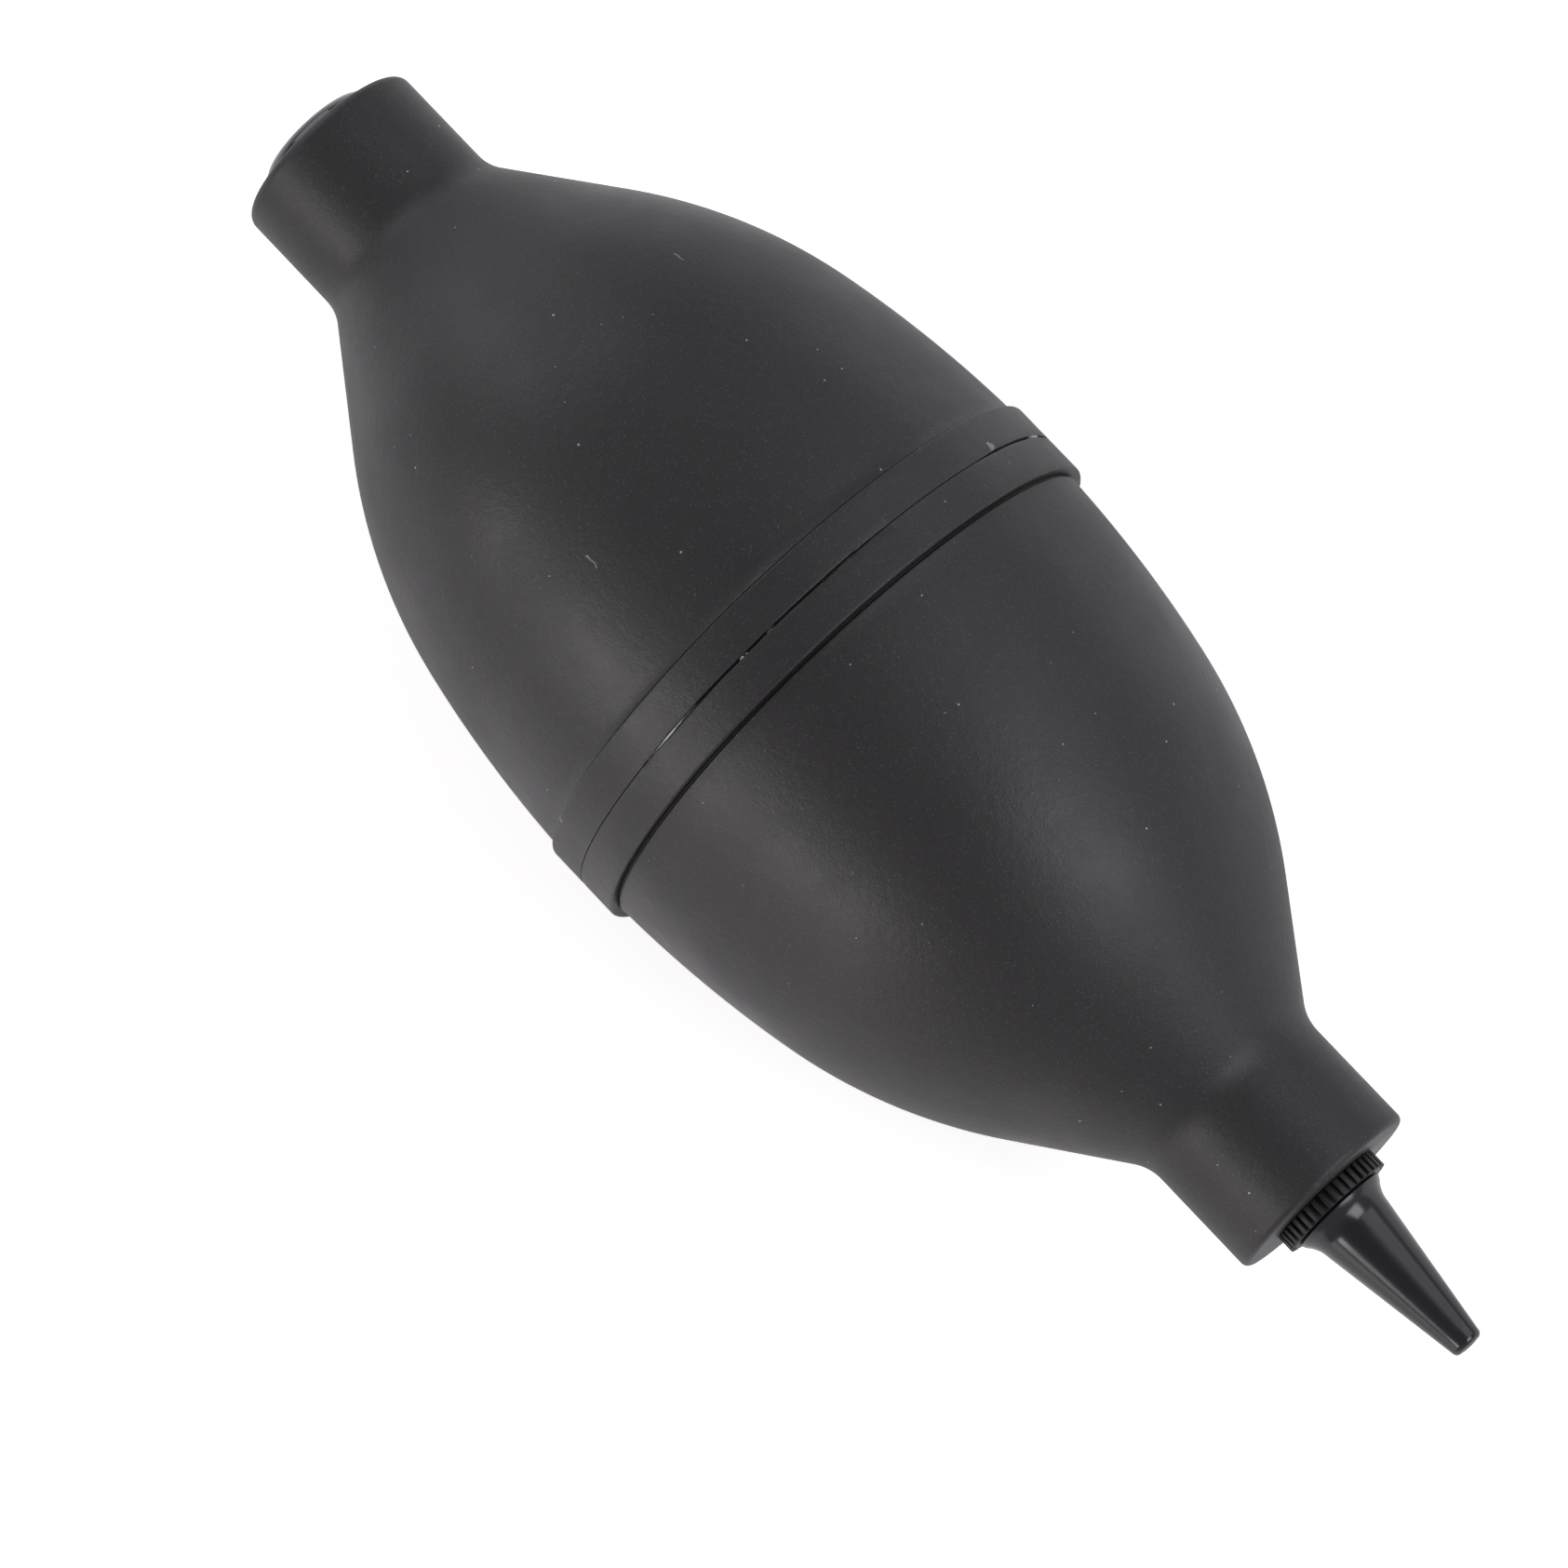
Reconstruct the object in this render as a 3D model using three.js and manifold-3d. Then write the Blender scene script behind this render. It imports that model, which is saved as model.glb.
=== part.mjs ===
// Dust blower bulb: a silicone squeeze bulb made of two moulded halves, with an air inlet valve in the
// rear neck and a screw-in nozzle in the front neck. It lies on its side, on its waist band.
//
// Millimetres, +Z up. The bulb's axis runs along X and the nozzle points to +X. Places along the axis
// are given as a distance from the waist, where the two halves meet, and the row's origin is put
// halfway along the whole blower, under it, by the group at the end.
import * as THREE from 'three';
import * as BufferGeometryUtils from 'three/addons/utils/BufferGeometryUtils.js';
import Module from 'manifold-3d';

const wasm = await Module();
wasm.setup();

// Driving dimensions.
const WAIST_R = 26.5; // outside of the lobes at the waist
const HALF_LENGTH = 62; // waist to the flat end of each neck
const NECK_R = 9;
const NECK_EDGE_R = 0.8; // rounding of the neck's end
const WALL = 2.2;
const BAND_R = 27.3; // raised band around the waist
const BAND_HALF_WIDTH = 3.65;
const SEAM_GAP = 0.3; // between the two halves' rims
const CROWN_R = 110; // long, flat arc over the middle of the bulb
const SHOULDER_R = 48; // tighter arc that follows it
const CROWN_END = Math.asin(0.2); // slope where the crown turns into the shoulder
const CONE_SLOPE = THREE.MathUtils.degToRad(35.5); // slope of the straight run into the neck
const ROOT_FILLET = 4; // hollow between that run and the neck
const BORE_R = 6.4; // bore of both necks
const FACETS = 28; // sides of every turned piece, so that a flat faces straight down
const CLEARANCE = 0.1; // between pieces that touch
const SLIP = 0.15; // around pieces that turn or slide

// The flexing wall on the fingers' side is an oval cut out of both halves.
const WALL_REAR_REACH = 42;
const WALL_FRONT_REACH = 26;
const WALL_HALF_HEIGHT = 19;
const WALL_GAP = 0.3;

// Inserts in the necks.
const INSERT_R = BORE_R - 0.2;
const INSERT_LENGTH = 12.3;
const INSERT_RECESS = 0.2;
const BARB_COUNT = 3;
const BARB_DEPTH = 0.55;

// Air inlet at the rear.
const POCKET_R = 5.2;
const POCKET_DEPTH = 4.4;
const SEAT_THICKNESS = 1.4;
const SEAT_PORTS = 6;
const SEAT_PORT_R = 1.1;
const SEAT_PORT_CIRCLE_R = 3;
const VALVE_R = 4.6;
const VALVE_STEM_R = 0.7;
const VALVE_HEAD_R = 1.3;
const VALVE_HEAD_THICKNESS = 0.45;
const VALVE_HEAD_SLACK = 1.3; // between the head and the seat, so that the flap can lift
const FLAP_RIM = 0.35;
const FLAP_RISE = 1.1;
const FILTER_DEPTH = 1.5;
const FILTER_THICKNESS = 1;
const CAP_R = 6.2;
const CAP_RISE = 2.3;
const CAP_EDGE_R = 1.5;
const CAP_HOLES = 8;
const CAP_HOLE_R = 0.5;
const CAP_HOLE_CIRCLE_R = 3.3;

// Nozzle at the front.
const COLLAR_R = 5.3;
const COLLAR_THICKNESS = 1.8;
const COLLAR_TEETH = 40;
const COLLAR_TOOTH_DEPTH = 0.35;
const THREAD_R = 3.85;
const THREAD_LENGTH = 6.8;
const NOZZLE_LENGTH = 15.4; // in front of the collar
const NOZZLE_BASE_R = 4.45;
const NOZZLE_NECK_R = 3.6;
const NOZZLE_TIP_R = 1.5;
const NOZZLE_STEM_R = 2.6;
const NOZZLE_HEAD_R = 3.6;
const NOZZLE_HEAD_LENGTH = 1.6;
const AIR_BORE_R = 1.6;
const TIP_BORE_R = 0.7;
const SEAL_THICKNESS = 1.2;

// Places that several pieces share, as distances from the waist.
const COLLAR_BACK = HALF_LENGTH + CLEARANCE;
const COLLAR_FRONT = COLLAR_BACK + COLLAR_THICKNESS;
const THREAD_END = COLLAR_BACK - THREAD_LENGTH;
const NOZZLE_BASE = COLLAR_FRONT + CLEARANCE;
const NOZZLE_TIP = NOZZLE_BASE + NOZZLE_LENGTH;
const HEAD_FRONT = THREAD_END - CLEARANCE;
const HEAD_BACK = HEAD_FRONT - NOZZLE_HEAD_LENGTH;
const SEAL_BACK = HEAD_BACK - CLEARANCE - SEAL_THICKNESS;
const SHELF_FRONT = SEAL_BACK - CLEARANCE;
const REAR_FACE = -HALF_LENGTH;
const REAR_END = REAR_FACE - CAP_RISE;
const POCKET_BOTTOM = REAR_FACE + INSERT_RECESS + POCKET_DEPTH;
const SEAT_FACE = POCKET_BOTTOM + SEAT_THICKNESS;
const AXIS_HEIGHT = BAND_R * Math.cos(Math.PI / FACETS);

const finishes = {
  silicone: { color: 0x3b3a3b, roughness: 0.78, metalness: 0 },
  glossBlack: { color: 0x16171a, roughness: 0.18, metalness: 0 },
  dullBlack: { color: 0x1c1b1c, roughness: 0.6, metalness: 0 },
  nozzleGrey: { color: 0x2d2e31, roughness: 0.3, metalness: 0 },
  insert: { color: 0x2a2a2c, roughness: 0.5, metalness: 0 },
  clearSilicone: { color: 0xc9c6bd, roughness: 0.5, metalness: 0 },
  foam: { color: 0x55565a, roughness: 0.95, metalness: 0 },
};

// An outline is a list of [place along the axis, radius].
function arc(centre, radius, from, to, steps) {
  const points = [];
  for (let i = 0; i <= steps; i += 1) {
    const angle = from + ((to - from) * i) / steps;
    points.push([centre[0] + radius * Math.sin(angle), centre[1] + radius * Math.cos(angle)]);
  }
  return points;
}

function mirrored(outline) {
  return outline.map(([place, radius]) => [-place, radius]);
}

// Turns a closed outline about the axis. The outline may start and end on the axis instead.
function turned(outline, facets = FACETS) {
  let area = 0;
  outline.forEach(([x, r], i) => {
    const [nextX, nextR] = outline[(i + 1) % outline.length];
    area += x * nextR - nextX * r;
  });
  const onAxis = outline[0][1] === 0 && outline.at(-1)[1] === 0;
  const loop = onAxis ? [...outline] : [...outline, outline[0]];
  if (area > 0) {
    loop.reverse();
  }
  const points = loop.map(([x, r]) => new THREE.Vector2(r, x));
  const geometry = new THREE.LatheGeometry(points, facets, Math.PI / facets);
  geometry.rotateZ(-Math.PI / 2);
  return geometry;
}

function toSolid(geometry) {
  const bare = geometry.index ? geometry.toNonIndexed() : geometry.clone();
  bare.deleteAttribute('normal');
  bare.deleteAttribute('uv');
  const merged = BufferGeometryUtils.mergeVertices(bare, 1e-4);
  const index = merged.index.array;
  const whole = [];
  for (let i = 0; i < index.length; i += 3) {
    const [a, b, c] = [index[i], index[i + 1], index[i + 2]];
    if (a !== b && b !== c && c !== a) {
      whole.push(a, b, c);
    }
  }
  const vertProperties = new Float32Array(merged.attributes.position.array);
  const triVerts = new Uint32Array(whole);
  return new wasm.Manifold(new wasm.Mesh({ numProp: 3, vertProperties, triVerts }));
}

function toGeometry(solid) {
  const mesh = solid.getMesh();
  const geometry = new THREE.BufferGeometry();
  geometry.setAttribute('position', new THREE.BufferAttribute(mesh.vertProperties, 3));
  geometry.setIndex(new THREE.BufferAttribute(mesh.triVerts, 1));
  return geometry;
}

function withHoles(geometry, holes) {
  return toGeometry(holes.reduce((solid, hole) => solid.subtract(toSolid(hole)), toSolid(geometry)));
}

// A ring of short round holes through a wall that stands across the axis.
function portRing(count, radius, circleRadius, from, to) {
  return Array.from({ length: count }, (_, i) => {
    const hole = new THREE.CylinderGeometry(radius, radius, to - from, 12);
    hole.rotateZ(-Math.PI / 2);
    const angle = (2 * Math.PI * (i + 0.5)) / count;
    hole.translate((from + to) / 2, circleRadius * Math.cos(angle), circleRadius * Math.sin(angle));
    return hole;
  });
}

function piece(name, geometry, finish) {
  const mesh = new THREE.Mesh(geometry, new THREE.MeshStandardMaterial(finishes[finish]));
  mesh.name = name;
  return mesh;
}

// The skin of one lobe, moved inwards by inset: crown, shoulder and the straight run into the neck.
function lobe(inset, start) {
  const crownCentre = [0, WAIST_R - CROWN_R];
  const shoulderCentre = [
    (CROWN_R - SHOULDER_R) * Math.sin(CROWN_END),
    crownCentre[1] + (CROWN_R - SHOULDER_R) * Math.cos(CROWN_END),
  ];
  const crownStart = Math.asin(start / (CROWN_R - inset));
  return [
    ...arc(crownCentre, CROWN_R - inset, crownStart, CROWN_END, 3),
    ...arc(shoulderCentre, SHOULDER_R - inset, CROWN_END, CONE_SLOPE, 4).slice(1),
  ];
}

// Where a line at the cone's slope, through a point, reaches a radius.
function coneReach([x, r], radius) {
  return x + (r - radius) / Math.tan(CONE_SLOPE);
}

// Lobe, band and neck of one half, as one closed outline.
function halfOutline() {
  const outside = lobe(0, BAND_HALF_WIDTH);
  const inside = lobe(WALL, SEAM_GAP / 2).reverse();
  const filletRise = ROOT_FILLET * (1 - Math.cos(CONE_SLOPE));
  const coneFoot = coneReach(outside.at(-1), NECK_R + filletRise);
  const filletCentre = [coneFoot + ROOT_FILLET * Math.sin(CONE_SLOPE), NECK_R + ROOT_FILLET];
  const edgeCentre = [HALF_LENGTH - NECK_EDGE_R, NECK_R - NECK_EDGE_R];
  return [
    [SEAM_GAP / 2, BAND_R],
    [BAND_HALF_WIDTH, BAND_R],
    ...outside,
    ...arc(filletCentre, ROOT_FILLET, Math.PI + CONE_SLOPE, Math.PI, 3),
    ...arc(edgeCentre, NECK_EDGE_R, 0, Math.PI / 2, 3),
    [HALF_LENGTH, BORE_R],
    [coneReach(inside[0], BORE_R), BORE_R],
    ...inside,
  ];
}

// The oval that bounds the flexing wall, pushed through the bulb's +Y side.
function fingerOval(inset) {
  const shape = new THREE.Shape();
  const height = WALL_HALF_HEIGHT - inset;
  shape.absellipse(0, 0, WALL_FRONT_REACH - inset, height, -Math.PI / 2, Math.PI / 2);
  shape.absellipse(0, 0, WALL_REAR_REACH - inset, height, Math.PI / 2, (3 * Math.PI) / 2);
  const prism = new THREE.ExtrudeGeometry(shape, {
    depth: BAND_R + WALL,
    bevelEnabled: false,
    curveSegments: 16,
  });
  prism.rotateX(-Math.PI / 2);
  return toSolid(prism);
}

function bulb() {
  const front = toSolid(turned(halfOutline()));
  const rear = toSolid(turned(mirrored(halfOutline())));
  const opening = fingerOval(0);
  const panel = fingerOval(WALL_GAP);
  return [
    piece('rear_bulb_half', toGeometry(rear.subtract(opening)), 'silicone'),
    piece('front_bulb_half', toGeometry(front.subtract(opening)), 'silicone'),
    piece('rear_finger_wall', toGeometry(rear.intersect(panel)), 'silicone'),
    piece('front_finger_wall', toGeometry(front.intersect(panel)), 'silicone'),
  ];
}

// Ring that laps the joint between the halves from inside.
function waistRing() {
  const halfWidth = 4.5;
  const thickness = 1.2;
  const outer = WAIST_R - WALL - 0.3;
  const outline = [
    [-halfWidth, outer - thickness],
    [-halfWidth, outer - thickness / 3],
    [-halfWidth + 1, outer],
    [halfWidth - 1, outer],
    [halfWidth, outer - thickness / 3],
    [halfWidth, outer - thickness],
  ];
  return piece('waist_ring', turned(outline), 'silicone');
}

// Outside of a neck insert, from its open face inwards: a plain land, then barbs that slope down
// towards the inner end.
function barbedOutside(face, inwards) {
  const land = 2.4;
  const pitch = (INSERT_LENGTH - land) / BARB_COUNT;
  const points = [[face, INSERT_R], [face + inwards * land, INSERT_R]];
  for (let i = 0; i < BARB_COUNT; i += 1) {
    const start = face + inwards * (land + i * pitch);
    points.push([start, INSERT_R - BARB_DEPTH]);
    points.push([start + inwards * pitch * 0.35, INSERT_R - BARB_DEPTH]);
    points.push([start + inwards * pitch * 0.35, INSERT_R]);
    points.push([start + inwards * pitch, INSERT_R - BARB_DEPTH]);
  }
  return points;
}

function valveHousing() {
  const face = REAR_FACE + INSERT_RECESS;
  const innerEnd = face + INSERT_LENGTH;
  const hub = VALVE_STEM_R + SLIP;
  const outline = [
    ...barbedOutside(face, 1),
    [innerEnd, POCKET_R],
    [SEAT_FACE, POCKET_R],
    [SEAT_FACE, hub],
    [POCKET_BOTTOM, hub],
    [POCKET_BOTTOM, POCKET_R],
    [face, POCKET_R],
  ];
  const through = 1;
  const ports = portRing(
    SEAT_PORTS, SEAT_PORT_R, SEAT_PORT_CIRCLE_R, POCKET_BOTTOM - through, SEAT_FACE + through,
  );
  return piece('valve_housing', withHoles(turned(outline), ports), 'insert');
}

// Umbrella valve: a thin domed flap on a stem, kept in its seat by a small head.
function inletValve() {
  const flapFace = SEAT_FACE + CLEARANCE;
  const headFace = POCKET_BOTTOM - VALVE_HEAD_SLACK;
  const headTop = headFace - VALVE_HEAD_THICKNESS;
  const outline = [
    [headTop, 0],
    [headTop, 0.7 * VALVE_HEAD_R],
    [headFace, VALVE_HEAD_R],
    [headFace, VALVE_STEM_R],
    [flapFace, VALVE_STEM_R],
    [flapFace, VALVE_R],
    [flapFace + FLAP_RIM, VALVE_R],
    [flapFace + 0.8 * FLAP_RISE, 0.45 * VALVE_R],
    [flapFace + FLAP_RISE, 0],
  ];
  return piece('inlet_valve', turned(outline), 'clearSilicone');
}

function inletFilter() {
  const outerFace = REAR_FACE + FILTER_DEPTH;
  const innerFace = outerFace + FILTER_THICKNESS;
  const radius = POCKET_R - 0.3;
  const outline = [
    [outerFace, 0],
    [outerFace, radius],
    [innerFace, radius],
    [innerFace, 0],
  ];
  return piece('inlet_filter', turned(outline), 'foam');
}

// Glossy domed cap with a skirt that clips into the housing.
function inletCap() {
  const back = REAR_FACE + CLEARANCE;
  const skirtEnd = back + 1.2;
  const skirtOuter = POCKET_R - 0.25;
  const skirtInner = skirtOuter - 0.8;
  const underside = REAR_FACE - 0.7;
  const shoulder = [REAR_END + 0.4 + CAP_EDGE_R, CAP_R - CAP_EDGE_R];
  const outline = [
    [REAR_END, 0],
    [REAR_END + 0.1, 2.4],
    ...arc(shoulder, CAP_EDGE_R, -Math.PI / 2, 0, 5),
    [back, CAP_R],
    [back, skirtOuter],
    [skirtEnd, skirtOuter],
    [skirtEnd, skirtInner],
    [underside, skirtInner],
    [underside, 0],
  ];
  const holes = portRing(CAP_HOLES, CAP_HOLE_R, CAP_HOLE_CIRCLE_R, REAR_END - 1, underside + 0.4);
  return piece('inlet_cap', withHoles(turned(outline), holes), 'glossBlack');
}

// Threaded insert that the nozzle's collar screws into. A shelf at its inner end carries the seal.
function frontBush() {
  const face = HALF_LENGTH - INSERT_RECESS;
  const threadBore = THREAD_R + SLIP;
  const shelfBore = 2.4;
  const outline = [
    ...barbedOutside(face, -1),
    [face - INSERT_LENGTH, shelfBore],
    [SHELF_FRONT, shelfBore],
    [SHELF_FRONT, threadBore],
    [face, threadBore],
  ];
  return piece('front_bush', turned(outline), 'insert');
}

function nozzleSeal() {
  const inner = 2.2;
  const outer = NOZZLE_HEAD_R + 0.1;
  const outline = [
    [SEAL_BACK, inner],
    [SEAL_BACK, outer],
    [SEAL_BACK + SEAL_THICKNESS, outer],
    [SEAL_BACK + SEAL_THICKNESS, inner],
  ];
  return piece('nozzle_seal', turned(outline), 'dullBlack');
}

// Outline of the knurled rim, seen along the axis.
function knurlShape(boreRadius) {
  const shape = new THREE.Shape();
  const tooth = (2 * Math.PI) / COLLAR_TEETH;
  const root = COLLAR_R - COLLAR_TOOTH_DEPTH;
  const corners = [[0, root], [0.18, root], [0.34, COLLAR_R], [0.84, COLLAR_R]];
  const points = [];
  for (let i = 0; i < COLLAR_TEETH; i += 1) {
    for (const [part, radius] of corners) {
      const angle = (i + part) * tooth;
      points.push(new THREE.Vector2(radius * Math.cos(angle), radius * Math.sin(angle)));
    }
  }
  shape.setFromPoints(points);
  const bore = new THREE.Path();
  bore.absarc(0, 0, boreRadius, 0, 2 * Math.PI, true);
  shape.holes.push(bore);
  return shape;
}

// Captive screw collar: a knurled rim on a threaded sleeve.
function nozzleCollar() {
  const bore = NOZZLE_STEM_R + SLIP;
  const sleeve = turned([
    [THREAD_END, bore],
    [THREAD_END, THREAD_R - 0.4],
    [THREAD_END + 0.4, THREAD_R],
    [COLLAR_BACK + 0.4, THREAD_R],
    [COLLAR_BACK + 0.4, bore],
  ]);
  const rim = new THREE.ExtrudeGeometry(knurlShape(bore + 0.02), {
    depth: COLLAR_THICKNESS,
    bevelEnabled: false,
    curveSegments: FACETS,
  });
  rim.rotateY(Math.PI / 2);
  rim.translate(COLLAR_BACK, 0, 0);
  return piece('nozzle_collar', toGeometry(toSolid(sleeve).add(toSolid(rim))), 'dullBlack');
}

// Tapered nozzle with a flared base, a stem through the collar and a head that keeps the collar on.
function nozzle() {
  const flareLength = 1.9;
  const tipEdge = 0.3;
  const outline = [
    [HEAD_BACK, AIR_BORE_R],
    [HEAD_BACK, NOZZLE_HEAD_R - 0.5],
    [HEAD_BACK + 0.6, NOZZLE_HEAD_R],
    [HEAD_FRONT, NOZZLE_HEAD_R],
    [HEAD_FRONT, NOZZLE_STEM_R],
    [NOZZLE_BASE, NOZZLE_STEM_R],
    [NOZZLE_BASE, NOZZLE_BASE_R],
    [NOZZLE_BASE + 0.5, NOZZLE_BASE_R],
    [NOZZLE_BASE + 0.5 * flareLength, NOZZLE_NECK_R + 0.4],
    [NOZZLE_BASE + flareLength, NOZZLE_NECK_R],
    [NOZZLE_TIP - tipEdge, NOZZLE_TIP_R],
    [NOZZLE_TIP, NOZZLE_TIP_R - tipEdge],
    [NOZZLE_TIP, TIP_BORE_R],
    [NOZZLE_TIP - 3, TIP_BORE_R],
    [NOZZLE_BASE + flareLength, AIR_BORE_R],
  ];
  return piece('nozzle', turned(outline), 'nozzleGrey');
}

const group = new THREE.Group();
group.add(
  ...bulb(),
  waistRing(),
  valveHousing(),
  inletValve(),
  inletFilter(),
  inletCap(),
  frontBush(),
  nozzleSeal(),
  nozzleCollar(),
  nozzle(),
);
group.position.set(-(REAR_END + NOZZLE_TIP) / 2, 0, AXIS_HEIGHT);

export default group;
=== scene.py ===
"""Dust blower bulb: the visual model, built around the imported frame.

The bulb lies on its waist band with its axis along X and its nozzle towards +X. The silicone skins,
the glossy joint bead, the air inlet and the nozzle are modelled here, each in the place that the
frame gives it, and a small light-tent studio stands around them. Everything is in metres.
"""

import logging
import math
from collections.abc import Callable, Iterable
from dataclasses import dataclass, field
from enum import Enum

import bmesh
import bpy
from mathutils import Matrix, Vector


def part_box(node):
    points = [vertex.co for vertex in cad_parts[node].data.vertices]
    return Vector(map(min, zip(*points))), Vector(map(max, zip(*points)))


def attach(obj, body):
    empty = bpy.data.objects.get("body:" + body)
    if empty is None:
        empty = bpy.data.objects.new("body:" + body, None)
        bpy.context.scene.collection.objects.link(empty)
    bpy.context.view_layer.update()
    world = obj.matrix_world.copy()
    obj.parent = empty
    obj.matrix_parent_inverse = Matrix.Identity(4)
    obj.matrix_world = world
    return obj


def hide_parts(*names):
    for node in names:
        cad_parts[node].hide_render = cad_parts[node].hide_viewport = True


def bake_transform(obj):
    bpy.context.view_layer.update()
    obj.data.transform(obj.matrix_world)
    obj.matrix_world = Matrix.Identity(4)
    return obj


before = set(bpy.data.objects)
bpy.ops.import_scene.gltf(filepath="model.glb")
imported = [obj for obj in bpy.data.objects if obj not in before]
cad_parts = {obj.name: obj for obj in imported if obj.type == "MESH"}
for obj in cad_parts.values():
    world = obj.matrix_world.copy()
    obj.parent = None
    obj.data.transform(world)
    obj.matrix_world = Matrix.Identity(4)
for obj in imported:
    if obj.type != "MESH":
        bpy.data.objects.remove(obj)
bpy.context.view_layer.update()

LOG = logging.getLogger("blower")
MM = 0.001
ROUND = 320  # steps around a silicone skin
SMALL_ROUND = 96  # steps around the inserts, cap and nozzle
MERGE = 0.002 * MM  # distance under which vertices are merged
DUST_TONE = (0.34, 0.335, 0.34, 1)
# The dust effect's values for fine powder.
POWDER = {"Scale": 4800.0, "Size": 0.32, "Amount": 0.8}

# Stretches of the waist slit that stand open, as (middle, half width) in degrees from the top towards
# +Y. Elsewhere the halves' rims nearly touch.
OPEN_SLITS = ((-6, 24), (70, 14), (128, 20), (197, 26), (262, 12))
# Stretches where the glossy bead has welled up into the slit, in the same form.
WELLED_BEAD = ((-28.7, 8.5), (-9.0, 0.7), (-2.7, 0.5), (74, 3), (190, 5))


class Body(Enum):
    """Moving bodies of the frame."""

    BULB = "bulb"
    FINGER_WALL = "finger_wall"
    VALVE = "inlet_valve"
    NOZZLE = "nozzle"
    COLLAR = "collar"


class Slot(Enum):
    """Material slots of the record."""

    SILICONE = "silicone"
    JOINT = "joint_silicone"
    INSERT = "insert_plastic"
    FLAP = "clear_silicone"
    FOAM = "foam"
    CAP = "gloss_black"
    SEAL = "seal_rubber"
    COLLAR = "dull_black"
    NOZZLE = "nozzle_plastic"


class Side(Enum):
    """Which way a half points from the waist."""

    REAR = -1
    FRONT = 1


def angle_between(first: float, second: float) -> float:
    """Returns the smaller angle between two directions, in degrees."""
    return abs((first - second + 180) % 360 - 180)


@dataclass(frozen=True)
class Layout:
    """Places that the pieces share, read from the frame.

    Args:
        waist: Place of the joint between the halves, along X.
        axis_height: Height of the bulb's axis.
        band_radius: Distance from the axis to the flat that the band rests on.
        rear_face: Flat end of the rear neck.
        front_face: Flat end of the front neck.
        rear_end: Crown of the inlet cap.
        tip: End of the nozzle.
    """

    waist: float
    axis_height: float
    band_radius: float
    rear_face: float
    front_face: float
    rear_end: float
    tip: float

    @classmethod
    def from_frame(cls) -> "Layout":
        """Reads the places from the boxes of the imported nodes.

        Returns:
            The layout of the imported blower.
        """
        rear_low, rear_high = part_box("rear_bulb_half")
        front_low, front_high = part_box("front_bulb_half")
        return cls(
            waist=(rear_high.x + front_low.x) / 2,
            axis_height=(front_low.z + front_high.z) / 2,
            band_radius=(front_high.z - front_low.z) / 2,
            rear_face=rear_low.x,
            front_face=front_high.x,
            rear_end=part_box("inlet_cap")[0].x,
            tip=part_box("nozzle")[1].x,
        )

    def on_axis(self, place: float) -> Vector:
        """Returns the point of the bulb's axis at a place along X."""
        return Vector((place, 0, self.axis_height))

    def radius(self, point: Vector) -> float:
        """Returns a point's distance from the bulb's axis."""
        return math.hypot(point.y, point.z - self.axis_height)

    def angle(self, point: Vector) -> float:
        """Returns a point's angle about the bulb's axis, in degrees from the top towards +Y."""
        return math.degrees(math.atan2(point.y, point.z - self.axis_height))

    def in_stretch(
        self, point: Vector, stretches: Iterable[tuple[float, float]], share: float = 1, margin: float = 0
    ) -> bool:
        """Says whether a point lies in one of several stretches around the axis.

        Args:
            point: Point that is tested.
            stretches: Stretches, as (middle, half width) in degrees.
            share: Share of each half width that counts.
            margin: Degrees that are added to each half width.

        Returns:
            Whether any stretch holds the point.
        """
        angle = self.angle(point)
        return any(angle_between(angle, middle) <= share * half + margin for middle, half in stretches)


@dataclass
class Outline:
    """Outline of a turned piece: points of (place along the axis, radius), walked in order."""

    points: list[tuple[float, float]] = field(default_factory=list)

    def to(self, place: float, radius: float, steps: int = 1) -> "Outline":
        """Walks straight to a point.

        Args:
            place: Place along the axis.
            radius: Distance from the axis.
            steps: Number of equal steps of the walk.

        Returns:
            The same outline.
        """
        if not self.points:
            self.points.append((place, radius))
            return self
        start_place, start_radius = self.points[-1]
        for step in range(1, steps + 1):
            share = step / steps
            self.points.append(
                (start_place + (place - start_place) * share, start_radius + (radius - start_radius) * share)
            )
        return self

    def bend(
        self, centre: tuple[float, float], radius: float, start: float, end: float, steps: int = 6
    ) -> "Outline":
        """Walks along an arc.

        Args:
            centre: Centre of the arc, as (place, radius).
            radius: Radius of the arc.
            start: Angle that it starts at, in degrees from the axis towards larger radii.
            end: Angle that it ends at.
            steps: Number of steps of the walk.

        Returns:
            The same outline.
        """
        for step in range(steps + 1):
            angle = math.radians(start + (end - start) * step / steps)
            self.points.append((centre[0] + radius * math.cos(angle), centre[1] + radius * math.sin(angle)))
        return self

    def placed(self, origin: float, sign: int = 1) -> "Outline":
        """Returns the outline moved along X to an origin, and turned to face the other way if sign is -1."""
        return Outline([(origin + sign * place, radius) for place, radius in self.points])


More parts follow.
